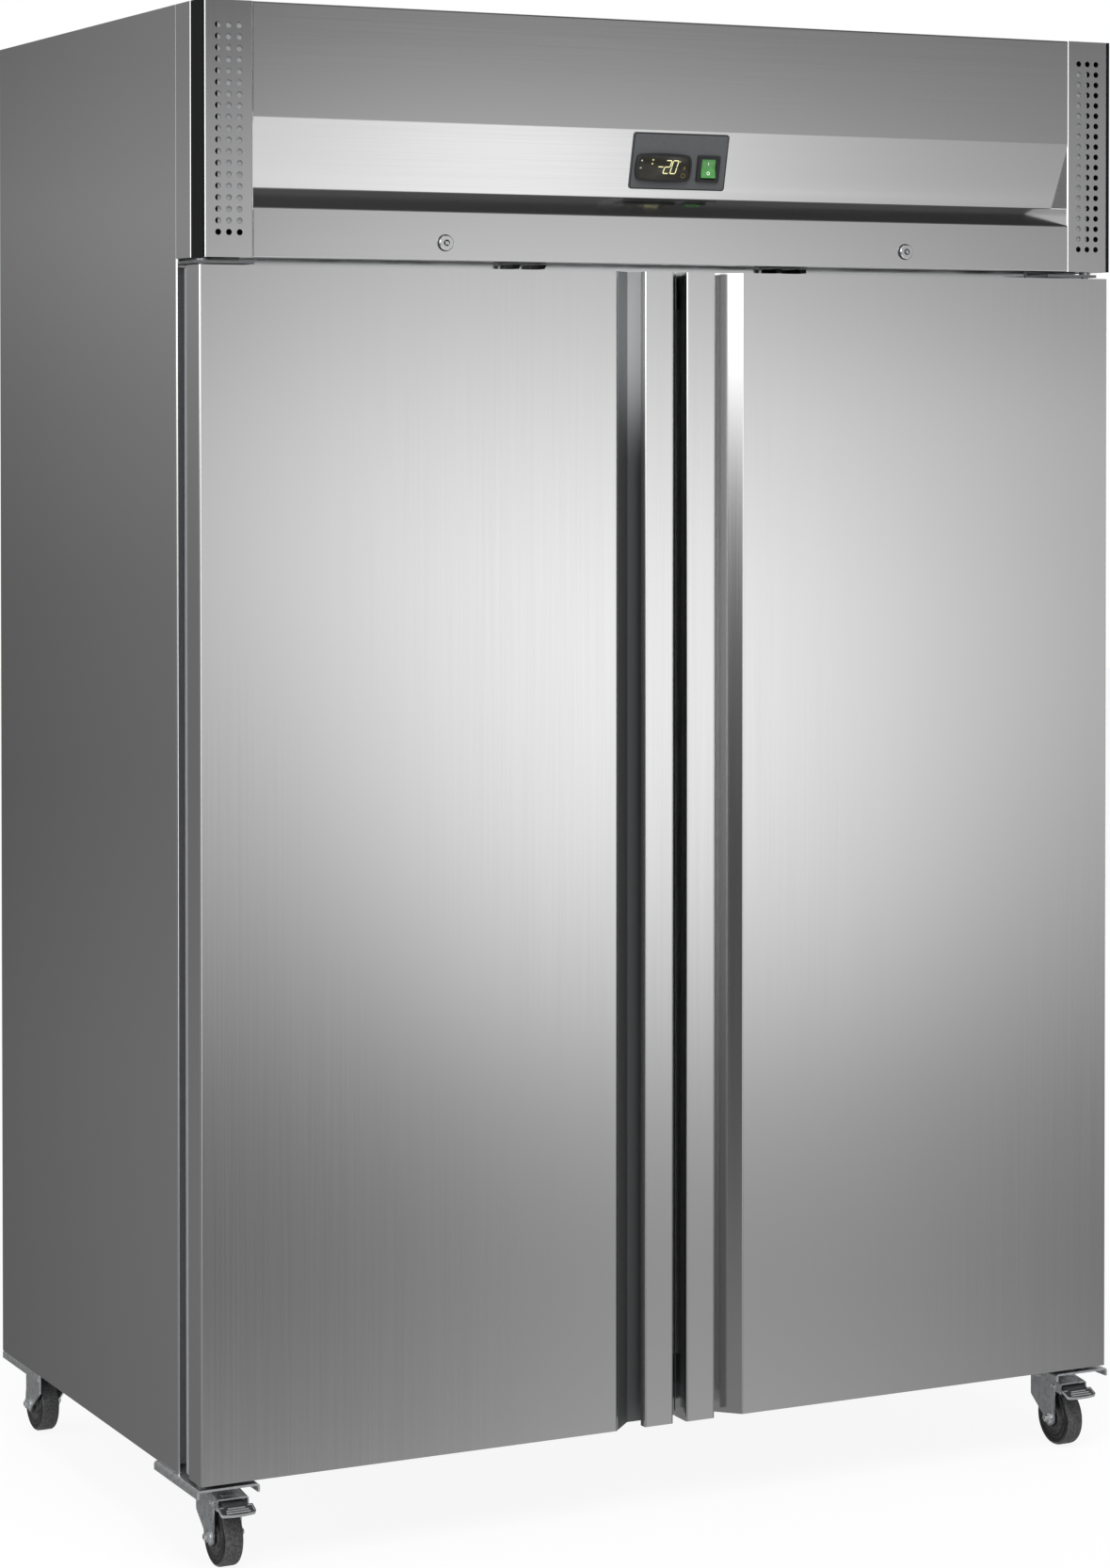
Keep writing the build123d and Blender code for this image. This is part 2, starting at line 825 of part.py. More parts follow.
def hinge_bracket():
    low = door_top + bracket_clearance
    path = [(body_y - bracket_reach, low), (body_y, low), (body_y, low + bracket_upright)]
    plane = side_plane(-half_width + bracket_inset)
    bracket = bent_sheet(path, plane, bracket_length, Side.LEFT, bracket_gauge, bracket_bend)
    return bracket - Pos(hinge_x, hinge_y, low) * Cylinder(pin_diameter / 2 + running, 4 * bracket_gauge)


def hinge_pins():
    radius = pin_diameter / 2
    low = door_top - pin_in_door
    seat = door_top + bracket_clearance + bracket_gauge
    upper = extrude(Plane((hinge_x, hinge_y, low)) * Circle(radius), amount=seat - low)
    upper += extrude(Plane((hinge_x, hinge_y, seat)) * Circle(pin_head / 2), amount=pin_head_height)
    foot = plate_under - pin_head_height
    lower = extrude(Plane((hinge_x, hinge_y, foot)) * Circle(radius), amount=door_bottom + pin_in_door - foot)
    washer = door_bottom - base_height - swivel_gap
    lower += extrude(Plane((hinge_x, hinge_y, base_height)) * Circle(washer_diameter / 2), amount=washer)
    return group([*both_sides(upper), *both_sides(lower)])


# Casters, drawn about a swivel axis on Z with the wheel trailing towards -Y

def caster_plates():
    low = base_height - plate_flange

    def channel(outer, y):
        inner = outer + corner_plate_width
        path = [(outer, low), (outer, base_height), (inner, base_height), (inner, low)]
        return bent_sheet(path, front_plane(y), corner_plate_length, Side.RIGHT, plate_gauge, plate_bend)

    front = channel(-half_width - plate_overhang, door_y + corner_plate_setback + corner_plate_length)
    front -= Pos(hinge_x, hinge_y, base_height) * Cylinder(pin_diameter / 2 + running, 4 * plate_gauge)
    rear = channel(-half_width, back_y - corner_plate_setback)
    return group([*both_sides(front), *both_sides(rear)])


crown_top = plate_under - fork_drop
crown_low = crown_top - crown_gauge
fork_half = wheel_width / 2 + fork_clearance


def caster_head():
    race_low = crown_top + swivel_gap
    king_top = crown_low - swivel_gap
    section = Polyline(
        (0, plate_under),
        (head_diameter / 2, plate_under),
        (head_diameter / 2, plate_under - head_plate),
        (race_diameter / 2, race_low),
        (king_pin / 2, race_low),
        (king_pin / 2, king_top),
        (king_head / 2, king_top),
        (king_head / 2, king_top - king_head_height),
        (0, king_top - king_head_height),
        close=True,
    )
    return revolve(Plane.XZ * make_face(section), Axis.Z)


def caster_fork(braked):
    leg = FilletPolyline(
        (leg_back, crown_top),
        (leg_back, axle_z + leg_knee),
        (leg_tip - caster_trail, axle_z),
        (-caster_trail, axle_z - leg_tip),
        (-caster_trail - leg_front, axle_z - leg_tip / 2),
        (-caster_trail - leg_front, crown_top - leg_slope),
        (-caster_trail - leg_front / 3, crown_top),
        radius=leg_corner,
        close=True,
    )
    leg = extrude(side_plane(fork_half) * make_face(leg), amount=fork_gauge)
    leg -= Pos(fork_half, -caster_trail, axle_z) * Rot(0, 90, 0) * Cylinder(
        axle_diameter / 2 + running, 4 * fork_gauge,
    )
    half = fork_half + fork_gauge
    tongue = RectangleRounded(2 * half, caster_trail + crown_margin, crown_corner)
    crown = Circle(crown_diameter / 2) + Pos(0, -caster_trail / 2) * tongue
    crown -= Circle(king_pin / 2 + running)
    fork = extrude(Pos(0, 0, crown_low) * crown, amount=crown_gauge)
    for side in both_sides(leg):
        fork += side
    axle = Rot(0, 90, 0) * Cylinder(axle_diameter / 2, 2 * half)
    hexagon = RegularPolygon(axle_hex / 2, 6, major_radius=False)
    hex_head = extrude(side_plane(half) * hexagon, amount=axle_head)
    axle = Pos(0, -caster_trail, axle_z) * (axle + both_sides(hex_head))
    pieces = [fork, axle]
    if braked:
        pieces.append(brake_housing())
    return group(pieces)


def brake_housing():
    # A pressed channel that falls towards the pedal, its sides against the fork's legs
    outer = fork_half + fork_gauge + brake_gauge
    top = crown_top + brake_rise

    def block(half, sink):
        side = Polyline(
            (-brake_back, top - sink),
            (-brake_front, top - brake_fall - sink),
            (-brake_front, top - brake_fall - brake_flange),
            (-brake_back, top - brake_flange),
            close=True,
        )
        return extrude(side_plane(0) * make_face(side), amount=half, both=True)

    channel = block(outer, 0)
    long_edges = channel.edges().filter_by(Axis.X, reverse=True).filter_by(Axis.Z, reverse=True)
    channel = fillet(long_edges.group_by(Axis.Z)[-1], brake_bend)
    channel -= block(outer - brake_gauge, brake_gauge)
    pin = Pos(0, -pedal_pivot, pedal_z) * Rot(0, 90, 0) * Cylinder(pedal_pin / 2, 2 * outer)
    return channel + pin


pedal_z = plate_under - pedal_pivot_drop


def brake_pedal():
    # A ribbed tread on a lever that turns on a pin across the housing
    tip = front_swivel + pedal_reach
    tip_z = pedal_z - pedal_drop
    lever = Polyline(
        (-pedal_pivot, pedal_z + pedal_boss),
        (-pedal_root, pedal_z + pedal_top),
        (-pedal_root, pedal_z - pedal_under),
        (-pedal_pivot, pedal_z - pedal_boss),
        close=True,
    )
    neck = 2 * (fork_half - fit_gap)
    pedal = extrude(side_plane(0) * make_face(lever), amount=neck / 2, both=True)
    pedal += Pos(0, -pedal_pivot, pedal_z) * Rot(0, 90, 0) * Cylinder(pedal_boss, neck)
    tread = Polyline(
        (-pedal_root, pedal_z + pedal_top),
        (-tip, tip_z + pedal_thickness / 2),
        (-tip, tip_z - pedal_thickness / 2),
        (-pedal_root, pedal_z - pedal_under),
        close=True,
    )
    tread = extrude(side_plane(0) * make_face(tread), amount=pedal_width / 2, both=True)
    tread = fillet(tread.edges().filter_by(Axis.Z).group_by(Axis.Y)[0], pedal_thickness)
    pedal += tread
    bore = Rot(0, 90, 0) * Cylinder(pedal_pin / 2 + running, pedal_width)
    return pedal - Pos(0, -pedal_pivot, pedal_z) * bore


def caster_wheel():
    w = wheel_width / 2
    r = wheel_diameter / 2
    hub = hub_diameter / 2
    web = w - hub_dish
    rim = r - rim_thickness
    face = fork_half - swivel_gap
    bore = axle_diameter / 2 + running
    half = [(bore, face), (hub, face), (hub, web), (rim, web), (rim, w)]
    shoulder = [(r - wheel_shoulder, w), (r, w - wheel_shoulder)]
    points = half + shoulder
    mirrored = [(radius, -x) for radius, x in reversed(points)]
    profile = make_face(Polyline(*points, *mirrored, close=True))
    plane = Plane((0, 0, 0), x_dir=(0, 0, 1), z_dir=(0, -1, 0))
    wheel = revolve(plane * profile, Axis.X)
    return Pos(0, -caster_trail, axle_z) * wheel


# Cooling machinery

deck_top = deck_z + steel
liquid_x = -cover_width / 4
suction_x = cover_width / 4
pipe_y = body_y + evaporator_setback + evaporator_size[1] / 2
compressor_y = back_y - compressor_back
condenser_y = body_y + condenser_setback
shroud_y = condenser_y + condenser_size[1] + shroud_plenum
condenser_mid = deck_top + condenser_size[2] / 2
cover_y = body_y + cover_setback
cover_low = inner_top - cover_drop
cover_mid = (inner_top + cover_low) / 2


def compressor():
    radius = compressor_diameter / 2
    low = deck_top + compressor_foot + compressor_plate[2]
    height = compressor_body + compressor_dome
    shell = extrude(Pos(0, 0, low) * Circle(radius), amount=height)
    shell = fillet(shell.edges().group_by(Axis.Z)[-1], compressor_dome)
    shell = fillet(shell.edges().group_by(Axis.Z)[0], compressor_foot)
    length, width, gauge = compressor_plate
    plate = extrude(Pos(0, 0, low - gauge) * RectangleRounded(length, width, compressor_corner), amount=gauge)
    inset = 2 * compressor_foot_inset
    feet = pattern(GridLocations(length - inset, width - inset, 2, 2), Circle(compressor_foot))
    plate += extrude(Pos(0, 0, deck_top) * feet, amount=compressor_foot)
    return Pos(compressor_x, compressor_y, 0) * (shell + plate)


def finned_coil(size):
    # Fins stand out on both faces of a thin core, as a comb drawn in plan
    length, depth, height = size
    fins = int((length - coil_fin) / coil_pitch) + 1
    core = Rectangle(length, depth - 2 * coil_fin_depth)
    comb = pattern(GridLocations(coil_pitch, 0, fins, 1), Rectangle(coil_fin, depth))
    return extrude(core + comb, amount=height)


def condenser():
    return Pos(condenser_x, condenser_y + condenser_size[1] / 2, deck_top) * finned_coil(condenser_size)


def fan_shroud():
    length, _, height = condenser_size
    plane = front_plane(shroud_y, condenser_mid, condenser_x)
    face = Rectangle(length, height) - Circle(condenser_fan_radius)
    walls = Rectangle(length, height) - Rectangle(length - 2 * shroud_gauge, height - 2 * shroud_gauge)
    return extrude(plane * face, amount=-shroud_gauge) + extrude(plane * walls, amount=shroud_plenum)


def evaporator():
    low = inner_top - evaporator_size[2]
    return Pos(0, body_y + evaporator_setback + evaporator_size[1] / 2, low) * finned_coil(evaporator_size)


def evaporator_cover():
    path = [
        (cover_y, inner_top),
        (cover_y, cover_low),
        (cover_y + cover_depth, cover_low),
        (cover_y + cover_depth, inner_top),
    ]
    cover = bent_sheet(path, side_plane(-cover_width / 2), cover_width, Side.LEFT)
    opening = front_plane(cover_y, cover_mid) * Circle(evaporator_fan_radius)
    return cover - extrude(opening, amount=-2 * steel)


def motor(radius, x, y, z):
    # Motor on a spider that is fixed behind its opening, with the shaft to the front
    ring = Circle(radius + spider_rim) - Circle(radius)
    reach = radius + spider_rim / 2
    arms = pattern(PolarLocations(0, 3), Pos(reach / 2, 0) * Rectangle(reach, spider_arm))
    spider = extrude(front_plane(y, z, x) * (ring + arms + Circle(motor_diameter / 2)), amount=-spider_gauge)
    case = extrude(front_plane(y + spider_gauge, z, x) * Circle(motor_diameter / 2), amount=-motor_length)
    shaft = extrude(front_plane(y, z, x) * Circle(motor_shaft / 2), amount=fan_depth)
    return spider + case + shaft


def fan(radius, x, y, z):
    # Pitched blades on a hub, ahead of the motor's spider
    hub = Circle(fan_hub / 2) - Circle(motor_shaft / 2 + running)
    rotor = extrude(hub, amount=fan_depth)
    root = fan_hub / 2 - blade_gauge
    tip = radius - fan_tip_gap
    ends = ((root, *blade_root), (tip, blade_tip[0] * tip, blade_tip[1]))
    blade = loft([
        Plane((reach, 0, fan_depth / 2), z_dir=(1, 0, 0)) * Rot(0, 0, pitch) * Rectangle(width, blade_gauge)
        for reach, width, pitch in ends
    ])
    for place in PolarLocations(0, fan_blades):
        rotor += place * blade
    return front_plane(y - swivel_gap, z, x) * rotor


def refrigerant_pipes():
    # Discharge to the condenser, liquid line down to the evaporator, suction line back up
    high = deck_top + condenser_size[2] + pipe_rise
    inlet_z = deck_top + compressor_foot + compressor_plate[2] + compressor_body - compressor_inlet
    outlet_x = condenser_x + pipe_end * condenser_size[0]
    outlet_y = condenser_y + condenser_size[1] / 2
    beside = compressor_x - compressor_diameter
    route = [
        (outlet_x, outlet_y, deck_top + condenser_size[2]),
        (outlet_x, outlet_y, high),
        (beside, outlet_y, high),
        (beside, compressor_y, high),
        (beside, compressor_y, inlet_z),
        (compressor_x - compressor_diameter / 2, compressor_y, inlet_z),
    ]
    path = FilletPolyline(*route, radius=pipe_bend)
    tubes = [sweep(Plane(route[0]) * Circle(pipe / 2), path=path)]
    for x in (liquid_x, suction_x):
        tubes.append(rod((x, pipe_y, inner_top), (x, pipe_y, high), pipe))
    return group(tubes)


# All nodes

add_pair("side_panel", side_panel())
nodes["back_panel"] = back_panel()
nodes["base_panel"] = base_panel()
nodes["top_cover"] = top_cover()
nodes["inner_liner"] = inner_liner()
nodes["insulation"] = insulation()
nodes["machine_deck"] = machine_deck()
nodes["mullion"] = mullion()
nodes["shelf_pilasters"] = pilasters()
nodes["shelf_runners"] = runners()
left_shelves = group([wire_shelf(level) for level in shelf_levels])
add_pair("shelves", left_shelves)
nodes["fascia_panel"] = fascia_panel()
nodes["vent_columns"] = group(both_sides(vent_column()))
nodes["hood_end_caps"] = group(both_sides(end_cap()))
nodes["hood_cheeks"] = group(both_sides(hood_cheek()))
nodes["control_plate"] = control_plate()
nodes["controller"] = controller()
nodes["switch_frame"] = switch_frame()
nodes["power_rocker"] = power_rocker()
nodes["lock_barrels"] = group(both_sides(lock_barrel()))
add_pair("lock_plug", lock_plug())
nodes["door_switches"] = group(both_sides(door_switch()))
add_pair("door_skin", door_skin())
add_pair("door_core", door_core())
add_pair("door_caps", door_caps())
add_pair("door_liner", door_liner())
add_pair("door_gasket", door_gasket())
add_pair("door_handle", door_handle())
nodes["hinge_brackets"] = group(both_sides(hinge_bracket()))
nodes["hinge_pins"] = hinge_pins()
nodes["caster_plates"] = caster_plates()

caster_places = {
    "front_left": (-half_width + swivel_inset, door_y + front_swivel, 0),
    "front_right": (half_width - swivel_inset, door_y + front_swivel, 0),
    "rear_left": (-half_width + swivel_inset, back_y - rear_swivel, 180),
    "rear_right": (half_width - swivel_inset, back_y - rear_swivel, 180),
}
heads = []
for place, (x, y, turn) in caster_places.items():
    where = Pos(x, y, 0) * Rot(0, 0, turn)
    braked = place.startswith("front")
    heads.append(where * caster_head())
    nodes["caster_fork_" + place] = where * caster_fork(braked)
    nodes["caster_wheel_" + place] = where * caster_wheel()
    if braked:
        nodes["brake_pedal_" + place] = where * brake_pedal()
nodes["caster_heads"] = group(heads)

nodes["compressor"] = compressor()
nodes["condenser"] = condenser()
nodes["fan_shroud"] = fan_shroud()
nodes["evaporator"] = evaporator()
nodes["evaporator_cover"] = evaporator_cover()
nodes["refrigerant_pipes"] = refrigerant_pipes()
shroud_back = shroud_y + shroud_gauge
cover_back = cover_y + steel
nodes["fan_motors"] = group([
    motor(condenser_fan_radius, condenser_x, shroud_back, condenser_mid),
    motor(evaporator_fan_radius, 0, cover_back, cover_mid),
])
nodes["condenser_fan"] = fan(condenser_fan_radius, condenser_x, shroud_back, condenser_mid)
nodes["evaporator_fan"] = fan(evaporator_fan_radius, 0, cover_back, cover_mid)

for name, shape in nodes.items():
    export_step(shape, f"parts/{name}.step")
print(len(nodes), "nodes")
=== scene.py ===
import math

import bmesh
import bpy
from mathutils import Matrix, Vector


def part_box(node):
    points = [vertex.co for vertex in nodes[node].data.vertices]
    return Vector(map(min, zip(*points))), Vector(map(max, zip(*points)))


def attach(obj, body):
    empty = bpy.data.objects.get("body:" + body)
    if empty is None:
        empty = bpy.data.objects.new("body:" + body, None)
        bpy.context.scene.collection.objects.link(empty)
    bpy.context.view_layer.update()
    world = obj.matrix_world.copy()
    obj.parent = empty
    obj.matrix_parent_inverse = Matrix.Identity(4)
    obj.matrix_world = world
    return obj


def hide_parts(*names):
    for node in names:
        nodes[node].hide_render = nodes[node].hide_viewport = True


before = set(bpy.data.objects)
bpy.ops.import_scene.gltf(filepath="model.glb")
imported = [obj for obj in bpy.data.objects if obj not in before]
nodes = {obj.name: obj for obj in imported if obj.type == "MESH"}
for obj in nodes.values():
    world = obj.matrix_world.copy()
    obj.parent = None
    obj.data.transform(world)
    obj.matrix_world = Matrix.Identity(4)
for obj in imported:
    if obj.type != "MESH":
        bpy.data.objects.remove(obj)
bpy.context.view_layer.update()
scene = bpy.context.scene
scene.view_settings.view_transform = "Standard"
mm = 0.001
print("frame loaded:", len(nodes), "nodes")


def linear(hexText):
    parts = [int(hexText[i:i + 2], 16) / 255 for i in (1, 3, 5)]
    return [v / 12.92 if v <= 0.04045 else ((v + 0.055) / 1.055) ** 2.4 for v in parts] + [1.0]


def addNode(tree, kind, links, **settings):
    node = tree.nodes.new("ShaderNode" + kind)
    for name, value in settings.items():
        setattr(node, name, value)
    for socket, value in links.items():
        if isinstance(value, bpy.types.NodeSocket):
            tree.links.new(value, node.inputs[socket])
        else:
            node.inputs[socket].default_value = value
    return node


def startMaterial(name, metallic):
    material = bpy.data.materials.new(name)
    material.use_nodes = True
    surface = material.node_tree.nodes["Principled BSDF"]
    surface.inputs["Metallic"].default_value = metallic
    return material, material.node_tree, surface


# materials
noiseLow, noiseHigh = 0.3, 0.7   # range of a noise that carries most of its pattern
brushed = {
    "light": "#e0e0e0", "dark": "#dadada", "smooth": 0.10, "rough": 0.13,
    "grainWidth": 1.8, "grainLength": 320.0,   # real lines are 0.1 mm wide: drawn coarser to show
    "cloud": 380.0, "stretch": 0.5, "relief": 0.008, "reliefDepth": 0.3,
    # unpolished inside of a grip, its darker colour painted shade in the recess: where it starts in X and in Y,
    # and how far it takes to blend in, mm
    "grip": (-95.0, -396.0), "gripBlend": 2.0, "satin": "#58595a", "satinRough": 0.42, "satinMetal": 0.5,
}


def brushedStainless(name, grain, gripped=False):
    # belt-brushed 18/8 sheet: fine straight lines, and reflections drawn out across them
    material, tree, surface = startMaterial(name, 1.0)
    place = addNode(tree, "TexCoord", {}).outputs["Object"]
    across, along = 1 / (brushed["grainWidth"] * mm), 1 / (brushed["grainLength"] * mm)
    stretch = [along if axis == grain else across for axis in "XYZ"]
    lined = addNode(tree, "Mapping", {"Vector": place, "Scale": stretch}).outputs[0]
    lines = addNode(tree, "TexNoise", {"Vector": lined, "Scale": 1.0, "Detail": 3.0}).outputs["Fac"]
    cloud = addNode(tree, "TexNoise", {"Vector": place, "Scale": 1 / (brushed["cloud"] * mm), "Detail": 2.0})
    both = addNode(tree, "Math", {0: lines, 1: cloud.outputs["Fac"]}, operation="MULTIPLY").outputs[0]
    tone = addNode(tree, "Mix", {0: both, 6: linear(brushed["dark"]), 7: linear(brushed["light"])},
                   data_type="RGBA")
    spread = addNode(tree, "MapRange", {0: lines, 1: noiseLow, 2: noiseHigh,
                                        3: brushed["smooth"], 4: brushed["rough"]})
    relief = addNode(tree, "Bump", {"Height": lines, "Strength": brushed["relief"],
                                    "Distance": brushed["reliefDepth"] * mm})
    turned = addNode(tree, "Tangent", {}, direction_type="RADIAL", axis="Z")
    colour, rough = tone.outputs[2], spread.outputs[0]
    if gripped:
        axes = addNode(tree, "SeparateXYZ", {0: place}).outputs
        inside = []
        for axis, start in zip(axes, brushed["grip"]):
            blend = addNode(tree, "MapRange", {0: axis, 1: start * mm, 2: (start + brushed["gripBlend"]) * mm})
            inside.append(blend.outputs[0])
        deep = addNode(tree, "Math", {0: inside[0], 1: inside[1]}, operation="MULTIPLY").outputs[0]
        # inside the grip: a rougher, less metallic unpolished finish, and a darker colour that is painted shade
        satin = linear(brushed["satin"])
        colour = addNode(tree, "Mix", {0: deep, 6: colour, 7: satin}, data_type="RGBA").outputs[2]
        rough = addNode(tree, "Mix", {0: deep, 2: rough, 3: brushed["satinRough"]}).outputs[0]
        metal = addNode(tree, "MapRange", {0: deep, 3: 1.0, 4: brushed["satinMetal"]}).outputs[0]
        tree.links.new(metal, surface.inputs["Metallic"])
    surface.inputs["Anisotropic"].default_value = brushed["stretch"]
    surface.inputs["Anisotropic Rotation"].default_value = 0.0 if grain == "Z" else 0.25
    for socket, output in (("Base Color", colour), ("Roughness", rough),
                           ("Normal", relief.outputs[0]), ("Tangent", turned.outputs[0])):
        tree.links.new(output, surface.inputs[socket])
    return material


# two colours, roughness range, metallic, pattern and its size in mm, relief
finishes = {
    # hot-dipped sheet: grey crystal flakes of differing gloss
    "galvanised": ("galvanisedSheet", "#b2b6b8", "#c1c4c6", 0.36, 0.41, 1.0, "TexVoronoi", 11.0, 0.008),
    # rolled bright-annealed liner sheet: near-mirror with a slow cloudiness
    "liner_steel": ("rolledLinerSteel", "#cfd0d1", "#dadbdc", 0.10, 0.16, 1.0, "TexNoise", 60.0, 0.01),
    # blown polyurethane: matte cream with small cells
    "foam": ("polyurethaneFoam", "#d3c08a", "#e3d4a4", 0.80, 0.95, 0.0, "TexVoronoi", 3.0, 0.25),
    # epoxy-dipped wire: off-white with a soft orange peel
    "coated_wire": ("epoxyCoatedWire", "#d9dad7", "#e6e6e3", 0.30, 0.42, 0.0, "TexNoise", 4.0, 0.05),
    # moulded ABS with a fine spark texture
    "black_plastic": ("mouldedAbs", "#161718", "#202122", 0.38, 0.52, 0.0, "TexNoise", 1.2, 0.06),
    # printed polycarbonate overlay: dark grey, faintly mottled satin
    "grey_film": ("polycarbonateFilm", "#464749", "#4e4f51", 0.32, 0.42, 0.0, "TexNoise", 2.0, 0.02),
    # bright chromed zinc die casting
    "chrome": ("chromedDieCasting", "#d6d7d8", "#e4e5e6", 0.08, 0.16, 1.0, "TexNoise", 9.0, 0.01),
    # extruded thermoplastic rubber: soft dull black with dust
    "gasket": ("extrudedRubber", "#464648", "#545456", 0.55, 0.70, 0.0, "TexNoise", 7.0, 0.03),
    # pressed hinge plate, zinc plated: grey satin
    "hinge_steel": ("pressedHingeSteel", "#9fa1a3", "#b7b9ba", 0.28, 0.42, 1.0, "TexNoise", 12.0, 0.03),
    # pressed plate with bright zinc: pale grey, slightly streaked
    "zinc": ("zincPlatedPressing", "#b4b6b8", "#c6c8ca", 0.24, 0.36, 0.85, "TexNoise", 9.0, 0.02),
    # baked enamel on the compressor shell: black with orange peel
    "black_paint": ("bakedEnamel", "#0e0f10", "#161718", 0.22, 0.32, 0.0, "TexNoise", 2.5, 0.05),
    # drawn copper tube: warm, with dull brown patches
    "copper": ("drawnCopperTube", "#9c5a38", "#c67c52", 0.24, 0.42, 1.0, "TexNoise", 22.0, 0.03),
}


def patterned(name, first, second, smooth, rough, metallic, pattern, size, bump):
    material, tree, surface = startMaterial(name, metallic)
    place = addNode(tree, "TexCoord", {}).outputs["Object"]
    grain = addNode(tree, pattern, {"Vector": place, "Scale": 1 / (size * mm)})
    level = grain.outputs["Color" if pattern == "TexVoronoi" else "Fac"]
    clear = addNode(tree, "MapRange", {0: level, 1: noiseLow, 2: noiseHigh}).outputs[0]
    tone = addNode(tree, "Mix", {0: clear, 6: linear(first), 7: linear(second)}, data_type="RGBA")
    spread = addNode(tree, "MapRange", {0: clear, 3: smooth, 4: rough})
    relief = addNode(tree, "Bump", {"Height": clear, "Strength": bump, "Distance": 0.5 * mm})
    for socket, output in (("Base Color", tone.outputs[2]), ("Roughness", spread.outputs[0]),
                           ("Normal", relief.outputs[0])):
        tree.links.new(output, surface.inputs[socket])
    return material


# gapShade: colour of the painted shade between the fins
fins = {"pitch": 2.6, "gapShade": "#2c2d2e", "sheet": "#c9cbcc", "dust": 15.0, "smooth": 0.3, "rough": 0.5}


def finnedAluminium():
    # stacked thin fins, with painted shade for the dark air gaps between them
    material, tree, surface = startMaterial("finnedAluminium", 1.0)
    place = addNode(tree, "TexCoord", {}).outputs["Object"]
    across = math.pi / (fins["pitch"] * mm) / 10   # the wave texture turns over once in pi / 10
    rows = addNode(tree, "Mapping", {"Vector": place, "Scale": (across, 0, 0)}).outputs[0]
    wave = addNode(tree, "TexWave", {"Vector": rows, "Scale": 1.0}, bands_direction="X").outputs["Fac"]
    dust = addNode(tree, "TexNoise", {"Vector": place, "Scale": 1 / (fins["dust"] * mm)}).outputs["Fac"]
    tone = addNode(tree, "Mix", {0: wave, 6: linear(fins["gapShade"]), 7: linear(fins["sheet"])}, data_type="RGBA")
    spread = addNode(tree, "MapRange", {0: dust, 3: fins["smooth"], 4: fins["rough"]})
    relief = addNode(tree, "Bump", {"Height": wave, "Strength": 0.3, "Distance": 1.0 * mm})
    for socket, output in (("Base Color", tone.outputs[2]), ("Roughness", spread.outputs[0]),
                           ("Normal", relief.outputs[0])):
        tree.links.new(output, surface.inputs[socket])
    return material


def litLens(name, dim, bright, glow, size):
    # tinted plastic with a lamp behind it: brighter in the middle of each grain
    material, tree, surface = startMaterial(name, 0.0)
    place = addNode(tree, "TexCoord", {}).outputs["Object"]
    grain = addNode(tree, "TexNoise", {"Vector": place, "Scale": 1 / (size * mm)}).outputs["Fac"]
    tone = addNode(tree, "Mix", {0: grain, 6: linear(dim), 7: linear(bright)}, data_type="RGBA")
    for socket in ("Base Color", "Emission Color"):
        tree.links.new(tone.outputs[2], surface.inputs[socket])
    surface.inputs["Emission Strength"].default_value = glow
    surface.inputs["Roughness"].default_value = 0.22
    return material


tyre = {"dark": "#323233", "pale": "#585859", "grain": 3.0, "rough": 0.72, "relief": 0.25, "reliefDepth": 0.6}


def tyreMaterial():
    # moulded rubber tread: dull, with pale scuffs and dust pressed into it
    material, tree, surface = startMaterial("mouldedTyreRubber", 0.0)
    place = addNode(tree, "TexCoord", {}).outputs["Object"]
    scuffs = addNode(tree, "TexNoise", {"Vector": place, "Scale": 1 / (tyre["grain"] * mm), "Detail": 6.0})
    scuffs = scuffs.outputs["Fac"]
    clear = addNode(tree, "MapRange", {0: scuffs, 1: 0.38, 2: 0.72}).outputs[0]
    tone = addNode(tree, "Mix", {0: clear, 6: linear(tyre["dark"]), 7: linear(tyre["pale"])}, data_type="RGBA")
    relief = addNode(tree, "Bump", {"Height": scuffs, "Strength": tyre["relief"],
                                    "Distance": tyre["reliefDepth"] * mm})
    surface.inputs["Roughness"].default_value = tyre["rough"]
    tree.links.new(tone.outputs[2], surface.inputs["Base Color"])
    tree.links.new(relief.outputs[0], surface.inputs["Normal"])
    return material


steelUpright = brushedStainless("brushedStainlessUpright", "Z")
steelLevel = brushedStainless("brushedStainlessLevel", "X")
steelGrip = brushedStainless("brushedStainlessGrip", "Z", True)
skins = {slot: patterned(*values) for slot, values in finishes.items()}
skins["stainless"] = steelUpright
skins["fins"] = finnedAluminium()
skins["caster_rubber"] = tyreMaterial()
skins["green_lens"] = litLens("litGreenPolycarbonate", "#2f6a33", "#558a50", 0.10, 5.0)
for node in nodes.values():
    for place in node.material_slots:
        place.material = skins[place.material.name]
nodes["fascia_panel"].material_slots[0].material = steelLevel
for name in ("door_skin_left", "door_handle_left"):
    nodes[name].material_slots[0].material = steelGrip
# moulded door liner: mid-grey satin that lifts the gap behind the door's edge
linerGrey = patterned("mouldedLinerAbs", "#77787a", "#838486", 0.40, 0.55, 0.0, "TexNoise", 3.0, 0.03)
# glass-filled nylon: charcoal with a fine fleck
nylon = patterned("glassFilledNylon", "#29292a", "#363738", 0.30, 0.45, 0.0, "TexNoise", 1.6, 0.05)
# polished rubber wall of the wheel: deep black gloss
wallRubber = patterned("polishedWheelRubber", "#121213", "#1c1c1d", 0.18, 0.30, 0.0, "TexNoise", 5.0, 0.03)
# paler grey nylon on the ribs and tread edges: painted highlight, with some wear
paintedHighlightNylon = patterned("paintedHighlightNylon", "#868788", "#9a9b9c", 0.35, 0.50, 0.0, "TexNoise", 1.6, 0.05)
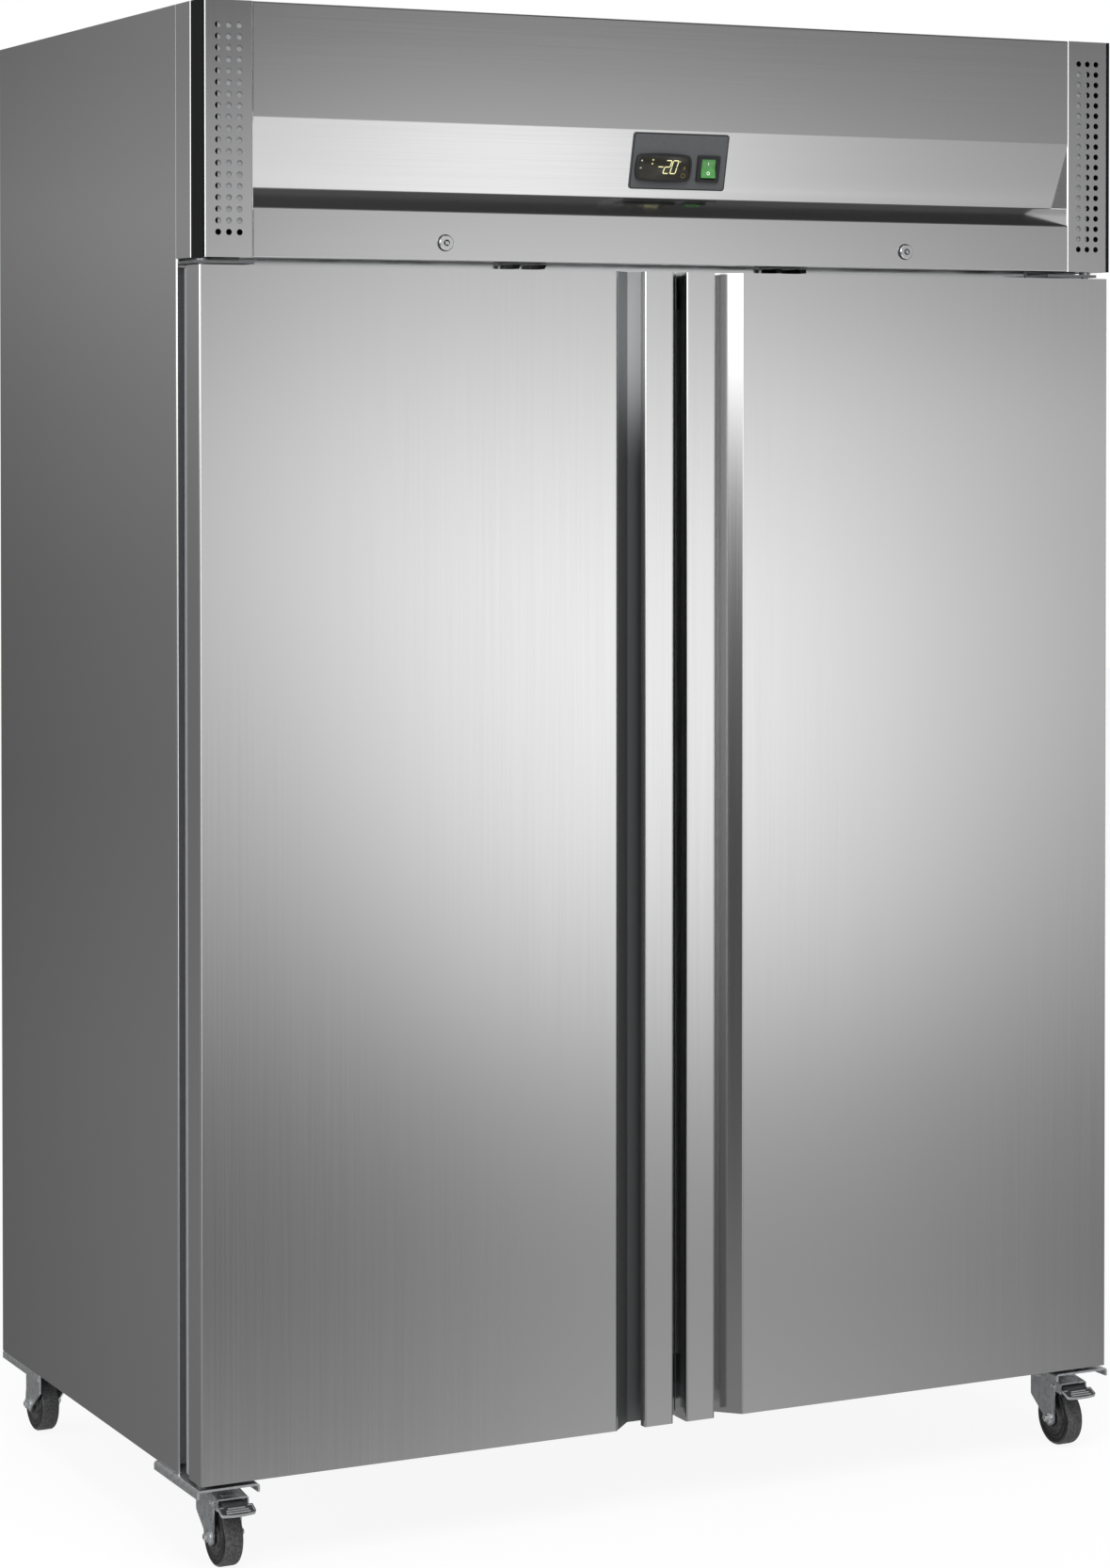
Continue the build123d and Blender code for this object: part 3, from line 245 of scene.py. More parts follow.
# matt black hood ends, moulded without gloss
mattAbs = patterned("mattMouldedAbs", "#090a0a", "#101111", 0.55, 0.70, 0.0, "TexNoise", 1.2, 0.04)
mattAbs.node_tree.nodes["Principled BSDF"].inputs["Specular IOR Level"].default_value = 0.2
nodes["hood_end_caps"].material_slots[0].material = mattAbs
for side in ("left", "right"):
    nodes["door_liner_" + side].material_slots[0].material = linerGrey
# extruded cover of the mullion: pale grey satin
nodes["mullion"].material_slots[0].material = patterned(
    "extrudedPvcCover", "#8f9192", "#9b9d9e", 0.35, 0.45, 0.0, "TexNoise", 5.0, 0.02)


switchPlate = {"front": -319.8, "blend": 0.2, "zinc": ("#b4b6b8", "#cfd1d2"), "feet": "#17181a", "speck": 3.0,
               "feetRough": 0.45, "zincRough": 0.12}


def switchFinish():
    # zinc-plated mounting plate with black moulded switch feet standing ahead of it
    material, tree, surface = startMaterial("platedSwitchPlate", 0.0)
    place = addNode(tree, "TexCoord", {}).outputs["Object"]
    depth = addNode(tree, "SeparateXYZ", {0: place}).outputs[1]
    start, end = [(switchPlate["front"] + way * switchPlate["blend"]) * mm for way in (-1, 1)]
    plate = addNode(tree, "MapRange", {0: depth, 1: start, 2: end}).outputs[0]
    speck = addNode(tree, "TexNoise", {"Vector": place, "Scale": 1 / (switchPlate["speck"] * mm)}).outputs["Fac"]
    dull, bright = [linear(tone) for tone in switchPlate["zinc"]]
    zincTone = addNode(tree, "Mix", {0: speck, 6: dull, 7: bright}, data_type="RGBA").outputs[2]
    tone = addNode(tree, "Mix", {0: plate, 6: linear(switchPlate["feet"]), 7: zincTone}, data_type="RGBA")
    rough = addNode(tree, "MapRange", {0: plate, 3: switchPlate["feetRough"], 4: switchPlate["zincRough"]})
    for socket, output in (("Base Color", tone.outputs[2]), ("Metallic", plate), ("Roughness", rough.outputs[0])):
        tree.links.new(output, surface.inputs[socket])
    return material


nodes["door_switches"].material_slots[0].material = switchFinish()
print("materials set")


# modelling helpers
near = 0.01 * mm   # tolerance for picking by place


def deselectAll():
    if bpy.context.object and bpy.context.object.mode != "OBJECT":
        bpy.ops.object.mode_set(mode="OBJECT")
    bpy.ops.object.select_all(action="DESELECT")


def pick(piece, kind, test):
    bpy.ops.object.mode_set(mode="EDIT")
    bpy.ops.mesh.select_mode(type=kind)
    bpy.ops.mesh.select_all(action="DESELECT")
    mesh = bmesh.from_edit_mesh(piece.data)
    for item in {"FACE": mesh.faces, "EDGE": mesh.edges, "VERT": mesh.verts}[kind]:
        if test(item):
            item.select_set(True)
    mesh.select_flush_mode()
    bmesh.update_edit_mesh(piece.data)


def standsUp(edge):
    return abs(edge.verts[0].co.z - edge.verts[1].co.z) > near


def startPiece(name, addPrimitive, **size):
    deselectAll()
    addPrimitive(**size)
    piece = bpy.context.object
    piece.name = piece.data.name = name
    bpy.ops.object.transform_apply(location=True, rotation=True, scale=True)
    return piece


def settle(piece, body, materials, place=None, angle=35):
    deselectAll()
    piece.select_set(True)
    bpy.context.view_layer.objects.active = piece
    if place is not None:
        piece.data.transform(place)
    bpy.ops.object.shade_smooth_by_angle(angle=math.radians(angle))
    if not len(piece.data.materials):
        for material in materials:
            piece.data.materials.append(material)
    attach(piece, body)
    return piece


def copyOf(piece, name, body, move):
    twin = piece.copy()
    twin.data = piece.data.copy()
    twin.name = twin.data.name = name
    twin.data.transform(move)
    scene.collection.objects.link(twin)
    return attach(twin, body)


def joinPieces(pieces, name):
    deselectAll()
    for piece in pieces:
        piece.select_set(True)
    bpy.context.view_layer.objects.active = pieces[0]
    bpy.ops.object.join()
    pieces[0].name = pieces[0].data.name = name
    return pieces[0]


def roundEdges(piece, width, segments=2, angle=40):
    deselectAll()
    piece.select_set(True)
    bpy.context.view_layer.objects.active = piece
    edge = piece.modifiers.new("roundEdges", "BEVEL")
    edge.width, edge.segments, edge.limit_method = width * mm, segments, "ANGLE"
    edge.angle_limit = math.radians(angle)
    bpy.ops.object.modifier_apply(modifier=edge.name)
    pick(piece, "VERT", lambda v: True)
    bpy.ops.mesh.remove_doubles(threshold=0.003 * mm)
    deselectAll()
    return piece


def addBlock(name, size, place):
    return startPiece(name, bpy.ops.mesh.primitive_cube_add, size=1, scale=[v * mm for v in size],
                      location=[v * mm for v in place])


def addDisc(name, radius, deep, sides, along=0.0):
    return startPiece(name, bpy.ops.mesh.primitive_cylinder_add, vertices=sides, radius=radius * mm,
                      depth=deep * mm, rotation=(0, math.pi / 2, 0), location=(along * mm, 0, 0))


def dishDisc(disc, steps, edge):
    pick(disc, "FACE", lambda f: f.normal.x > 0.9)
    for step, rise in steps:
        bpy.ops.mesh.inset(thickness=step * mm, depth=rise * mm)
    return roundEdges(disc, edge)


def makeRing(name, radius, wall, deep, sides, turn=(0, 0, 0)):
    ring = startPiece(name, bpy.ops.mesh.primitive_cylinder_add, vertices=sides, radius=radius * mm,
                      depth=deep * mm, rotation=turn)
    pick(ring, "FACE", lambda f: len(f.verts) == sides)   # both ends
    bpy.ops.mesh.inset(thickness=wall * mm, use_individual=True)
    bpy.ops.mesh.bridge_edge_loops()
    deselectAll()
    return ring


# camera, floor and light
photoView = {
    "place": (-2.4244, -4.9531, 1.5070), "turn": 0.46378, "lens": 87.861,
    "pitch": 1.0, "shift": (-0.0180, -0.2047),
}
cameraData = bpy.data.cameras.new("photoCamera")
cameraData.sensor_fit = "AUTO"
cameraData.lens = photoView["lens"]
cameraData.shift_x, cameraData.shift_y = photoView["shift"]
camera = bpy.data.objects.new("photoCamera", cameraData)
camera.location = photoView["place"]
camera.rotation_euler = (math.pi / 2 - math.radians(photoView["pitch"]), 0, -photoView["turn"])
scene.collection.objects.link(camera)
scene.camera = camera

studio = {
    # brightness that the steel mirrors, by the sine of the height and by azimuth in degrees from the front;
    # front: the big card that the doors show, leaning, with a brighter spot and a low card under it
    "frontHeights": ((-0.45, 0.0), (-0.36, 0.10), (-0.27, 0.29), (-0.22, 0.295), (-0.18, 0.42), (-0.15, 0.66),
                     (-0.12, 0.90), (-0.08, 1.15), (-0.045, 1.24), (-0.01, 1.10), (0.02, 0.84), (0.045, 0.70),
                     (0.07, 0.55), (0.095, 0.24), (0.14, 0.13), (0.35, 0.25), (0.70, 0.28), (0.95, 0.20)),
    "frontAzimuths": ((-20, 0.0), (8, 0.36), (18, 0.44), (20.5, 0.55), (23, 0.87), (25.5, 1.0), (28, 0.95),
                      (31, 0.66), (34.5, 0.38), (40, 0.30), (70, 0.34), (95, 0.0)),
    "spotHeights": ((-0.27, 0.0), (-0.20, 0.08), (-0.15, 0.24), (-0.11, 0.26), (-0.06, 0.10), (-0.02, 0.0)),
    "spotAzimuths": ((21, 0.0), (24, 0.6), (26, 1.0), (28, 1.0), (30.5, 0.5), (33, 0.0)),
    "lowHeights": ((-0.70, 0.0), (-0.52, 0.80), (-0.40, 1.42), (-0.33, 1.30), (-0.28, 0.25), (-0.22, 0.06),
                   (-0.16, 0.0)),
    "lowAzimuths": ((-20, 0.0), (8, 0.42), (18, 0.50), (21.2, 0.55), (22.8, 0.62), (24.4, 0.72), (26, 0.86),
                    (27.6, 1.0), (29.2, 0.76), (30.8, 0.55), (32.4, 0.44), (34, 0.36), (40, 0.34), (95, 0.0)),
    "upperHeights": ((-0.04, 0.0), (-0.005, 0.12), (0.024, 0.08), (0.07, 0.11), (0.12, 0.10), (0.40, 0.05),
                     (0.60, 0.0)),
    "upperAzimuths": ((26, 0.0), (33, 1.0), (60, 1.0), (80, 0.0)),
    # dim room to the sides and behind
    "sideHeights": ((-1.0, 0.12), (-0.60, 0.20), (-0.30, 0.19), (-0.17, 0.205), (-0.10, 0.18), (-0.05, 0.195),
                    (0.0, 0.25), (0.046, 0.33), (0.09, 0.25), (0.20, 0.22), (0.50, 0.30), (0.80, 0.25),
                    (0.95, 0.06)),
    "sideAzimuths": ((-180, 2.2), (-174, 1.2), (-168, 0.34), (-164, 0.40), (-161, 0.85), (-158.5, 1.08),
                     (-140, 1.1), (-110, 1.4), (-76, 1.4), (-68, 0.42), (-56, 0.42), (-48, 1.4), (-20, 1.6),
                     (8, 0.0), (80, 0.0), (100, 1.2), (135, 1.9), (165, 2.0), (180, 2.2)),
    # softbox at the front left, seen in the upper ends of the grips, and the room's left corner below it
    "softboxHeights": ((-0.12, 0.0), (-0.06, 0.05), (-0.03, 0.18), (-0.005, 0.85), (0.015, 1.9), (0.45, 2.0),
                       (0.60, 0.0)),
    "softboxAzimuths": ((-105, 0.0), (-90, 1.0), (-45, 1.0), (-25, 0.0)),
    "leftHeights": ((-0.60, 0.20), (-0.30, 0.20), (-0.24, 0.13), (-0.19, 0.02), (-0.15, 0.0)),
    "leftAzimuths": ((-76, 0.0), (-68, 1.0), (-56, 1.0), (-48, 0.0)),
    # pale floor far below and the lit ceiling, dimmer to the front right
    "groundHeights": ((-1.0, 0.62), (-0.70, 0.60), (-0.55, 0.30), (-0.46, 0.0)),
    "groundAzimuths": ((-180, 1.0), (180, 1.0)),
    "ceilingHeights": ((0.50, 0.0), (0.72, 0.45), (1.0, 0.60)),
    "ceilingAzimuths": ((-180, 1.0), (10, 1.0), (40, 0.03), (105, 0.03), (135, 1.0), (180, 1.0)),
    # narrow upright lamps that draw bright lines along the bends
    "stripHeights": ((-0.30, 0.0), (-0.20, 0.5), (-0.10, 2.2), (0.40, 2.4), (0.55, 0.0)),
    "stripAzimuths": ((-24, 0.0), (-20, 1.0), (-4, 1.0), (0, 0.0), (78, 0.0), (82, 1.0), (92, 1.0), (96, 0.0)),
    "tilt": 15.0,   # degrees of azimuth that the front light leans over its height
    # area lamps: power, size, place and aim
    "lamps": {"topLight": (190.0, 3.0, (-0.6, -2.6, 4.6), (0, 0, 0.8)),
              "fillLight": (60.0, 2.5, (-4.5, 1.5, 2.6), (0, 0, 0.9)),
              "rearLight": (60.0, 2.5, (3.5, 4.0, 3.0), (0, 0, 0.9))},
    "gripPower": 5200.0, "gripCone": 5.2, "gripSoft": 0.05,
    "gripFrom": (-1.9, -4.0, 2.3), "gripAim": (-0.07, -0.385, 1.63),
    "floorRadius": 16.0, "floorColour": "#e9e9e9", "floorWhite": 0.90,
}
world = bpy.data.worlds.new("studio")
world.use_nodes = True
scene.world = world
tree = world.node_tree
heading = addNode(tree, "TexCoord", {}).outputs["Generated"]
axes = addNode(tree, "SeparateXYZ", {0: heading})
ahead = addNode(tree, "Math", {0: axes.outputs[1], 1: -1.0}, operation="MULTIPLY").outputs[0]
azimuth = addNode(tree, "Math", {0: axes.outputs[0], 1: ahead}, operation="ARCTAN2").outputs[0]
leaning = addNode(tree, "Math", {0: axes.outputs[2], 1: math.radians(studio["tilt"]), 2: azimuth},
                  operation="MULTIPLY_ADD").outputs[0]
glow = None
for part in ("front", "spot", "low", "upper", "side", "left", "softbox", "ground", "ceiling", "strip"):
    turn = leaning if part == "front" else azimuth
    levels = []
    for fac, stops, reach, span in ((axes.outputs[2], studio[part + "Heights"], 1.0, 1.0),
                                    (turn, studio[part + "Azimuths"], math.pi, 180.0)):
        spread = addNode(tree, "MapRange", {0: fac, 1: -reach, 2: reach}).outputs[0]
        ramp = addNode(tree, "ValToRGB", {0: spread})
        elements = ramp.color_ramp.elements
        elements.remove(elements[1])
        for index, (at, level) in enumerate(stops):
            spot = (at / span + 1) / 2
            element = elements.new(spot) if index else elements[0]
            element.position, element.color = spot, (level, level, level, 1)
        levels.append(ramp.outputs[0])
    lit = addNode(tree, "Math", {0: levels[0], 1: levels[1]}, operation="MULTIPLY").outputs[0]
    glow = lit if glow is None else addNode(tree, "Math", {0: glow, 1: lit}, operation="ADD").outputs[0]
ray = addNode(tree, "LightPath", {}).outputs["Is Camera Ray"]
seen = addNode(tree, "MapRange", {0: ray, 3: glow, 4: 1.0}).outputs[0]
tree.links.new(seen, tree.nodes["Background"].inputs["Color"])

floor = startPiece("studioFloor", bpy.ops.mesh.primitive_circle_add, vertices=96, radius=studio["floorRadius"],
                   fill_type="NGON")
floor.visible_glossy = False
material, tree, surface = startMaterial("studioFloor", 0.0)
surface.inputs["Base Color"].default_value = linear(studio["floorColour"])
surface.inputs["Roughness"].default_value = 0.9
white = addNode(tree, "Emission", {})
ray = addNode(tree, "LightPath", {}).outputs["Is Camera Ray"]
share = addNode(tree, "MapRange", {0: ray, 4: studio["floorWhite"]})
mixed = addNode(tree, "MixShader", {0: share.outputs[0], 1: surface.outputs[0], 2: white.outputs[0]})
tree.links.new(mixed.outputs[0], tree.nodes["Material Output"].inputs["Surface"])
floor.data.materials.append(material)


def hangLamp(light, place, aim):
    lamp = bpy.data.objects.new(light.name, light)
    lamp.location = place
    lamp.rotation_euler = (Vector(aim) - Vector(place)).to_track_quat("-Z", "Y").to_euler()
    lamp.visible_glossy = False
    scene.collection.objects.link(lamp)
    return lamp


for name, (power, size, place, aim) in studio["lamps"].items():
    light = bpy.data.lights.new(name, "AREA")
    light.energy, light.size = power, size
    hangLamp(light, place, aim)
# narrow lamp into the upper end of the left grip, for the left door's sheet alone
light = bpy.data.lights.new("gripLight", "SPOT")
light.energy, light.spot_size, light.spot_blend = studio["gripPower"], math.radians(studio["gripCone"]), 1.0
light.shadow_soft_size = studio["gripSoft"]
lamp = hangLamp(light, studio["gripFrom"], studio["gripAim"])
gripped = bpy.data.collections.new("gripped")
for name in ("door_skin_left", "door_handle_left"):
    gripped.objects.link(nodes[name])
lamp.light_linking.receiver_collection = gripped
print("camera, floor and light set")


# wheels: rubber tyre on a moulded centre
wheel = {
    "radius": 40.0, "width": 27.0, "sides": 80, "shoulder": 5.0,
    # steps inwards over each side, width and rise: wall, groove, lip, web and hub
    "rings": ((9.0, 0.0), (0.6, -1.2), (1.2, 0.0), (0.6, 0.84), (4.0, 0.0), (2.0, -4.0), (7.0, 0.0),
              (1.5, 5.0), (1.0, 0.0)),
    "wallFrom": 0.46,   # share of the width: faces further out are the polished wall
}
corners = ("front_left", "front_right", "rear_left", "rear_right")
wheelPlaces = {}
for corner in corners:
    low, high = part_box("caster_wheel_" + corner)
    wheelPlaces[corner] = Matrix.Translation((low + high) / 2)


def makeWheel(name):
    piece = addDisc(name, wheel["radius"], wheel["width"], wheel["sides"])
    pick(piece, "FACE", lambda f: abs(f.normal.x) > 0.9)
    for step, rise in wheel["rings"]:
        bpy.ops.mesh.inset(thickness=step * mm, depth=rise * mm, use_individual=True)
    rim, side = wheel["radius"] * mm - near, wheel["width"] / 2 * mm - near
    pick(piece, "EDGE", lambda e: all(v.co.yz.length > rim and abs(v.co.x) > side for v in e.verts)
         and e.verts[0].co.x * e.verts[1].co.x > 0)
    bpy.ops.mesh.bevel(offset=wheel["shoulder"] * mm, segments=4, affect="EDGES")
    deselectAll()
    return piece


firstPlace = wheelPlaces["front_left"]
firstWheel = settle(makeWheel("tyre_front_left"), "wheel_front_left",
                    (skins["caster_rubber"], wallRubber), firstPlace, 40)
for face in firstWheel.data.polygons:
    outward = abs((face.center - firstPlace.translation).x)
    face.material_index = 1 if outward > wheel["wallFrom"] * wheel["width"] * mm else 0
for corner in corners:
    made = firstWheel
    if corner != "front_left":
        made = copyOf(firstWheel, "tyre_" + corner, "wheel_" + corner, wheelPlaces[corner] @ firstPlace.inverted())
    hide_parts("caster_wheel_" + corner)
print("wheels made")

# brake pedals: ribbed treads on a lever under the housing
casterAcross = 643.0   # mm from the cabinet's middle to a swivel axis
toLeft = Matrix.Translation((-casterAcross * mm, 0, 0))
leftToRight = Matrix.Translation((2 * casterAcross * mm, 0, 0))
pedal = {
    "width": 47.5, "length": 18.4, "thick": 4.4, "bow": 2.2, "corner": 3.2, "edge": 0.25,
    "rim": 1.6, "recess": (0.6, -0.8), "paintedHighlightFrom": 6.0,   # edges this far from the middle are paler: painted edge highlight, with some wear
    "ribs": (33.0, 31.0, 24.0), "ribWidth": 1.7, "ribHeight": 2.0, "ribPitch": 4.3, "ribShift": (-0.4, -0.5),
    "ribEdge": 0.6, "slope": 24.0, "tread": (-404.0, 82.6),
    "lever": (33.0, 29.0, 6.0), "leverEdge": 1.0, "pivot": (-369.5, 87.5),
}


def makePedal():
    tread = addBlock("tread", (pedal["width"], pedal["length"], pedal["thick"]), (0, 0, 0))
    front = -pedal["length"] / 2 * mm + near
    half = pedal["width"] / 2 * mm
    # cut across, so that the front edge can bow
    for share in (-0.6, -0.3, 0.0, 0.3, 0.6):
        pick(tread, "FACE", lambda f: True)
        bpy.ops.mesh.bisect(plane_co=(share * half, 0, 0), plane_no=(1, 0, 0))
    for share in (0.3, 0.6, 1.0):
        pick(tread, "VERT", lambda v: v.co.y < front and abs(abs(v.co.x) - share * half) < near)
        bpy.ops.transform.translate(value=(0, pedal["bow"] * share * share * mm, 0))
    pick(tread, "EDGE", lambda e: standsUp(e) and all(v.co.y < 0 and abs(v.co.x) > 0.99 * half for v in e.verts))
    bpy.ops.mesh.bevel(offset=pedal["corner"] * mm, segments=5, affect="EDGES")
    pick(tread, "FACE", lambda f: f.normal.z > 0.9)
    bpy.ops.mesh.inset(thickness=pedal["rim"] * mm)
    bpy.ops.mesh.inset(thickness=pedal["recess"][0] * mm, depth=pedal["recess"][1] * mm)
    roundEdges(tread, pedal["edge"])
    tread.data.materials.append(nylon)
    tread.data.materials.append(paintedHighlightNylon)
    # side faces away from the middle take the paler nylon: painted edge highlight, with some wear
    for face in tread.data.polygons:
        paintedEdgeHighlight = abs(face.normal.z) < 0.8 and face.center.length > pedal["paintedHighlightFrom"] * mm
        face.material_index = 1 if paintedEdgeHighlight else 0
    parts = [tread]
    back, sink = pedal["ribShift"]
    for index, long in enumerate(pedal["ribs"]):
        # ribs in the paler nylon: painted highlight on their tops, with some wear
        rib = addBlock("rib", (long, pedal["ribWidth"], pedal["ribHeight"]),
                       (0, (index - 1) * pedal["ribPitch"] + back, pedal["thick"] / 2 + sink))
        rib.data.materials.append(paintedHighlightNylon)
        parts.append(roundEdges(rib, pedal["ribEdge"], 3))
    whole = joinPieces(parts, "pedal")
    whole.data.transform(Matrix.Translation((0, pedal["tread"][0] * mm, pedal["tread"][1] * mm))
                         @ Matrix.Rotation(math.radians(pedal["slope"]), 4, "X"))
    wide, long, tall = pedal["lever"]
    lever = addBlock("lever", (wide, long, tall), (0, pedal["pivot"][0] - long / 2, pedal["pivot"][1]))
    lever.data.materials.append(nylon)
    return joinPieces([whole, roundEdges(lever, pedal["leverEdge"])], "pedal_left")


pedalLeft = settle(makePedal(), "pedal_front_left", [nylon, paintedHighlightNylon], toLeft)
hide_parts("brake_pedal_front_left")
pedalRight = copyOf(pedalLeft, "pedal_right", "pedal_front_right", leftToRight)
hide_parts("brake_pedal_front_right")
print("pedals made")

# pressed panel and pin heads on each brake housing
housing = {
    "panel": (26.0, 14.0, 0.9), "panelAt": (-373.0, 97.4), "fall": 7.3, "panelCorner": 3.0, "panelRim": 1.6,
    "panelRecess": (0.6, -0.5), "panelEdge": 0.3,
    "outer": 22.0, "pinRadius": 4.6, "pinHead": 1.6, "pinSteps": ((1.61, 0.0), (0.5, -0.6)), "pinEdge": 0.2,
    "pinAt": (-369.5, 87.5),
}
panel = addBlock("brakePanel_left", housing["panel"], (0, 0, 0))
pick(panel, "EDGE", standsUp)
bpy.ops.mesh.bevel(offset=housing["panelCorner"] * mm, segments=4, affect="EDGES")
pick(panel, "FACE", lambda f: f.normal.z > 0.9)
bpy.ops.mesh.inset(thickness=housing["panelRim"] * mm)
bpy.ops.mesh.inset(thickness=housing["panelRecess"][0] * mm, depth=housing["panelRecess"][1] * mm)
roundEdges(panel, housing["panelEdge"])
settle(panel, "caster_front_left", [skins["zinc"]],
       Matrix.Translation((-casterAcross * mm, housing["panelAt"][0] * mm, housing["panelAt"][1] * mm))
       @ Matrix.Rotation(math.radians(housing["fall"]), 4, "X"))
copyOf(panel, "brakePanel_right", "caster_front_right", leftToRight)
pinHead = dishDisc(addDisc("brakePin_left_outer", housing["pinRadius"], housing["pinHead"], 24),
                   housing["pinSteps"], housing["pinEdge"])
outward = (housing["outer"] + housing["pinHead"] / 2) * mm
pinY, pinZ = [v * mm for v in housing["pinAt"]]
settle(pinHead, "caster_front_left", [skins["zinc"]],
       Matrix.Translation((-casterAcross * mm - outward, pinY, pinZ)) @ Matrix.Rotation(math.pi, 4, "Z"))
aboutPin = Matrix.Translation((-casterAcross * mm, pinY, 0))
turnOver = aboutPin @ Matrix.Rotation(math.pi, 4, "Z") @ aboutPin.inverted()
copyOf(pinHead, "brakePin_left_inner", "caster_front_left", turnOver)
copyOf(pinHead, "brakePin_right_inner", "caster_front_right", leftToRight)
copyOf(pinHead, "brakePin_right_outer", "caster_front_right", leftToRight @ turnOver)
print("brake details made")

# axle bolts: a washer against each fork leg and the bolt's end beyond its hexagon
axle = {
    "washer": (9.0, 1.3), "washerSteps": ((1.2, 0.2),), "washerEdge": 0.3, "leg": 20.0,
    "end": (4.0, 2.4), "endSteps": ((1.0, 0.3), (1.2, -0.4)), "endEdge": 0.2, "hexEnd": 25.0,
}
# bright zinc on turned fasteners: pale with crisp lights
brightZinc = patterned("brightZincFastener", "#d2d4d6", "#e6e7e8", 0.14, 0.26, 1.0, "TexNoise", 4.0, 0.03)


def makeAxleEnd(name):
    radius, deep = axle["washer"]
    washer = addDisc("washer", radius, deep, 32, axle["leg"] + deep / 2)
    dishDisc(washer, axle["washerSteps"], axle["washerEdge"])
    radius, deep = axle["end"]
    end = addDisc("end", radius, deep, 24, axle["hexEnd"] + deep / 2)
    dishDisc(end, axle["endSteps"], axle["endEdge"])
    return joinPieces([washer, end], name)


firstEnd = None
for corner in corners:
    for side, turn in (("right", 0.0), ("left", math.pi)):
        move = wheelPlaces[corner] @ Matrix.Rotation(turn, 4, "Z")
        name = "axleEnd_" + corner + "_" + side
        if firstEnd is None:
            firstEnd, firstMove = settle(makeAxleEnd(name), "caster_" + corner, [brightZinc], move), move
        else:
            copyOf(firstEnd, name, "caster_" + corner, move @ firstMove.inverted())
print("axle ends made")

# controller: window, digits and marks on the slanted band
band = {
    "origin": (0, -394.09, 1822.98), "up": (0, -0.2267, 0.974), "out": (0, -0.974, -0.2267),
    "controller": (-24.5, -8.5),
}
bandTurn = Matrix(((1, 0, 0), band["up"], band["out"])).transposed().to_4x4()
bandPlace = Matrix.Translation([v * mm for v in band["origin"]]) @ bandTurn
display = {
    "window": (77.2, 32.2), "windowCorner": 7.0, "windowEdge": 0.15, "floor": 5.72, "glass": 0.45,
    "smoke": ("#1c1c17", "#282620"), "haze": 18.0, "gloss": 0.12,
    "digitHeight": 17.6, "digitWidth": 8.0, "stroke": 1.25, "strokeGap": (0.6, 0.5), "point": 0.42, "lean": 0.24,
    "digits": ((-5.5, "g"), (4.6, "abged"), (15.0, "abcdef")), "rise": 1.7,
    "printThick": 0.14, "printLift": 0.05, "printEdge": 0.05,
    "dots": ((-17.8, 10.8), (-18.5, 5.6)), "dotRadius": 1.25,
    "degree": (23.0, 9.4), "degreeRing": (1.0, 0.4),
    "icons": ((30.5, 0.6), (29.4, -9.6)), "flakeBar": (6.0, 0.5), "iconRing": (3.2, 0.7),
    "keys": ((-34.6, 9.5), (-35.6, -0.5)), "keyBar": (2.6, 0.4), "keyTurn": 0.9, "keyAside": 0.75,
}


def smokedWindow():
    # smoked polycarbonate: near-black with an olive cast and a sharp gloss
    material, tree, surface = startMaterial("smokedPolycarbonate", 0.0)
    place = addNode(tree, "TexCoord", {}).outputs["Object"]
    haze = addNode(tree, "TexNoise", {"Vector": place, "Scale": 1 / (display["haze"] * mm)}).outputs["Fac"]
    dark, pale = [linear(tone) for tone in display["smoke"]]
    tone = addNode(tree, "Mix", {0: haze, 6: dark, 7: pale}, data_type="RGBA")
    tree.links.new(tone.outputs[2], surface.inputs["Base Color"])
    surface.inputs["Roughness"].default_value = display["gloss"]
    return material


def onController(x, y, z):
    return Matrix.Translation(((band["controller"][0] + x) * mm, (band["controller"][1] + y) * mm, z * mm))


def printOnGlass(piece, material, x, y):
    level = display["floor"] + display["glass"] + display["printLift"]
    settle(piece, "cabinet", [material], bandPlace @ onController(x, y, level))


window = addBlock("displayWindow", (*display["window"], display["glass"]), (0, 0, display["glass"] / 2))
pick(window, "EDGE", standsUp)
bpy.ops.mesh.bevel(offset=display["windowCorner"] * mm, segments=8, affect="EDGES")
roundEdges(window, display["windowEdge"])
settle(window, "cabinet", [smokedWindow()], bandPlace @ onController(0, 0, display["floor"]))


def makeStroke(long):
    stroke = addBlock("stroke", (long, display["stroke"], display["printThick"]), (0, 0, 0))
    pick(stroke, "EDGE", standsUp)
    bpy.ops.mesh.bevel(offset=display["stroke"] * display["point"] * mm, segments=1, affect="EDGES")
    deselectAll()
    return stroke


def makeBar(long, thin, turn, aside=0.0):
    bar = makeStroke(long)
    bar.data.transform(Matrix.Translation((aside * mm, 0, 0)) @ Matrix.Rotation(turn, 4, "Z")
                       @ Matrix.Scale(thin, 4, (0, 1, 0)))
    return bar


half, wide = display["digitHeight"] / 2, display["digitWidth"]
strokePlaces = {
    "a": (0, half, False), "g": (0, 0, False), "d": (0, -half, False), "f": (-wide / 2, half / 2, True),
    "b": (wide / 2, half / 2, True), "e": (-wide / 2, -half / 2, True), "c": (wide / 2, -half / 2, True),
}
level, upright = makeStroke(wide - display["strokeGap"][0]), makeStroke(half - display["strokeGap"][1])
upright.data.transform(Matrix.Rotation(math.pi / 2, 4, "Z"))
strokes = []
for x, names in display["digits"]:
    for name in names:
        dx, dy, standing = strokePlaces[name]
        twin = (upright if standing else level).copy()
        twin.data = twin.data.copy()
        twin.data.transform(Matrix.Translation(((x + dx) * mm, dy * mm, 0)))
        scene.collection.objects.link(twin)
        strokes.append(twin)
for pattern in (level, upright):
    bpy.data.objects.remove(pattern)
digits = joinPieces(strokes, "displayDigits")
lean = Matrix.Identity(4)
lean[0][1] = display["lean"]
digits.data.transform(lean)
printOnGlass(digits, litLens("litDigitSegments", "#cfc88e", "#ded8a6", 0.45, 2.0), 0, display["rise"])


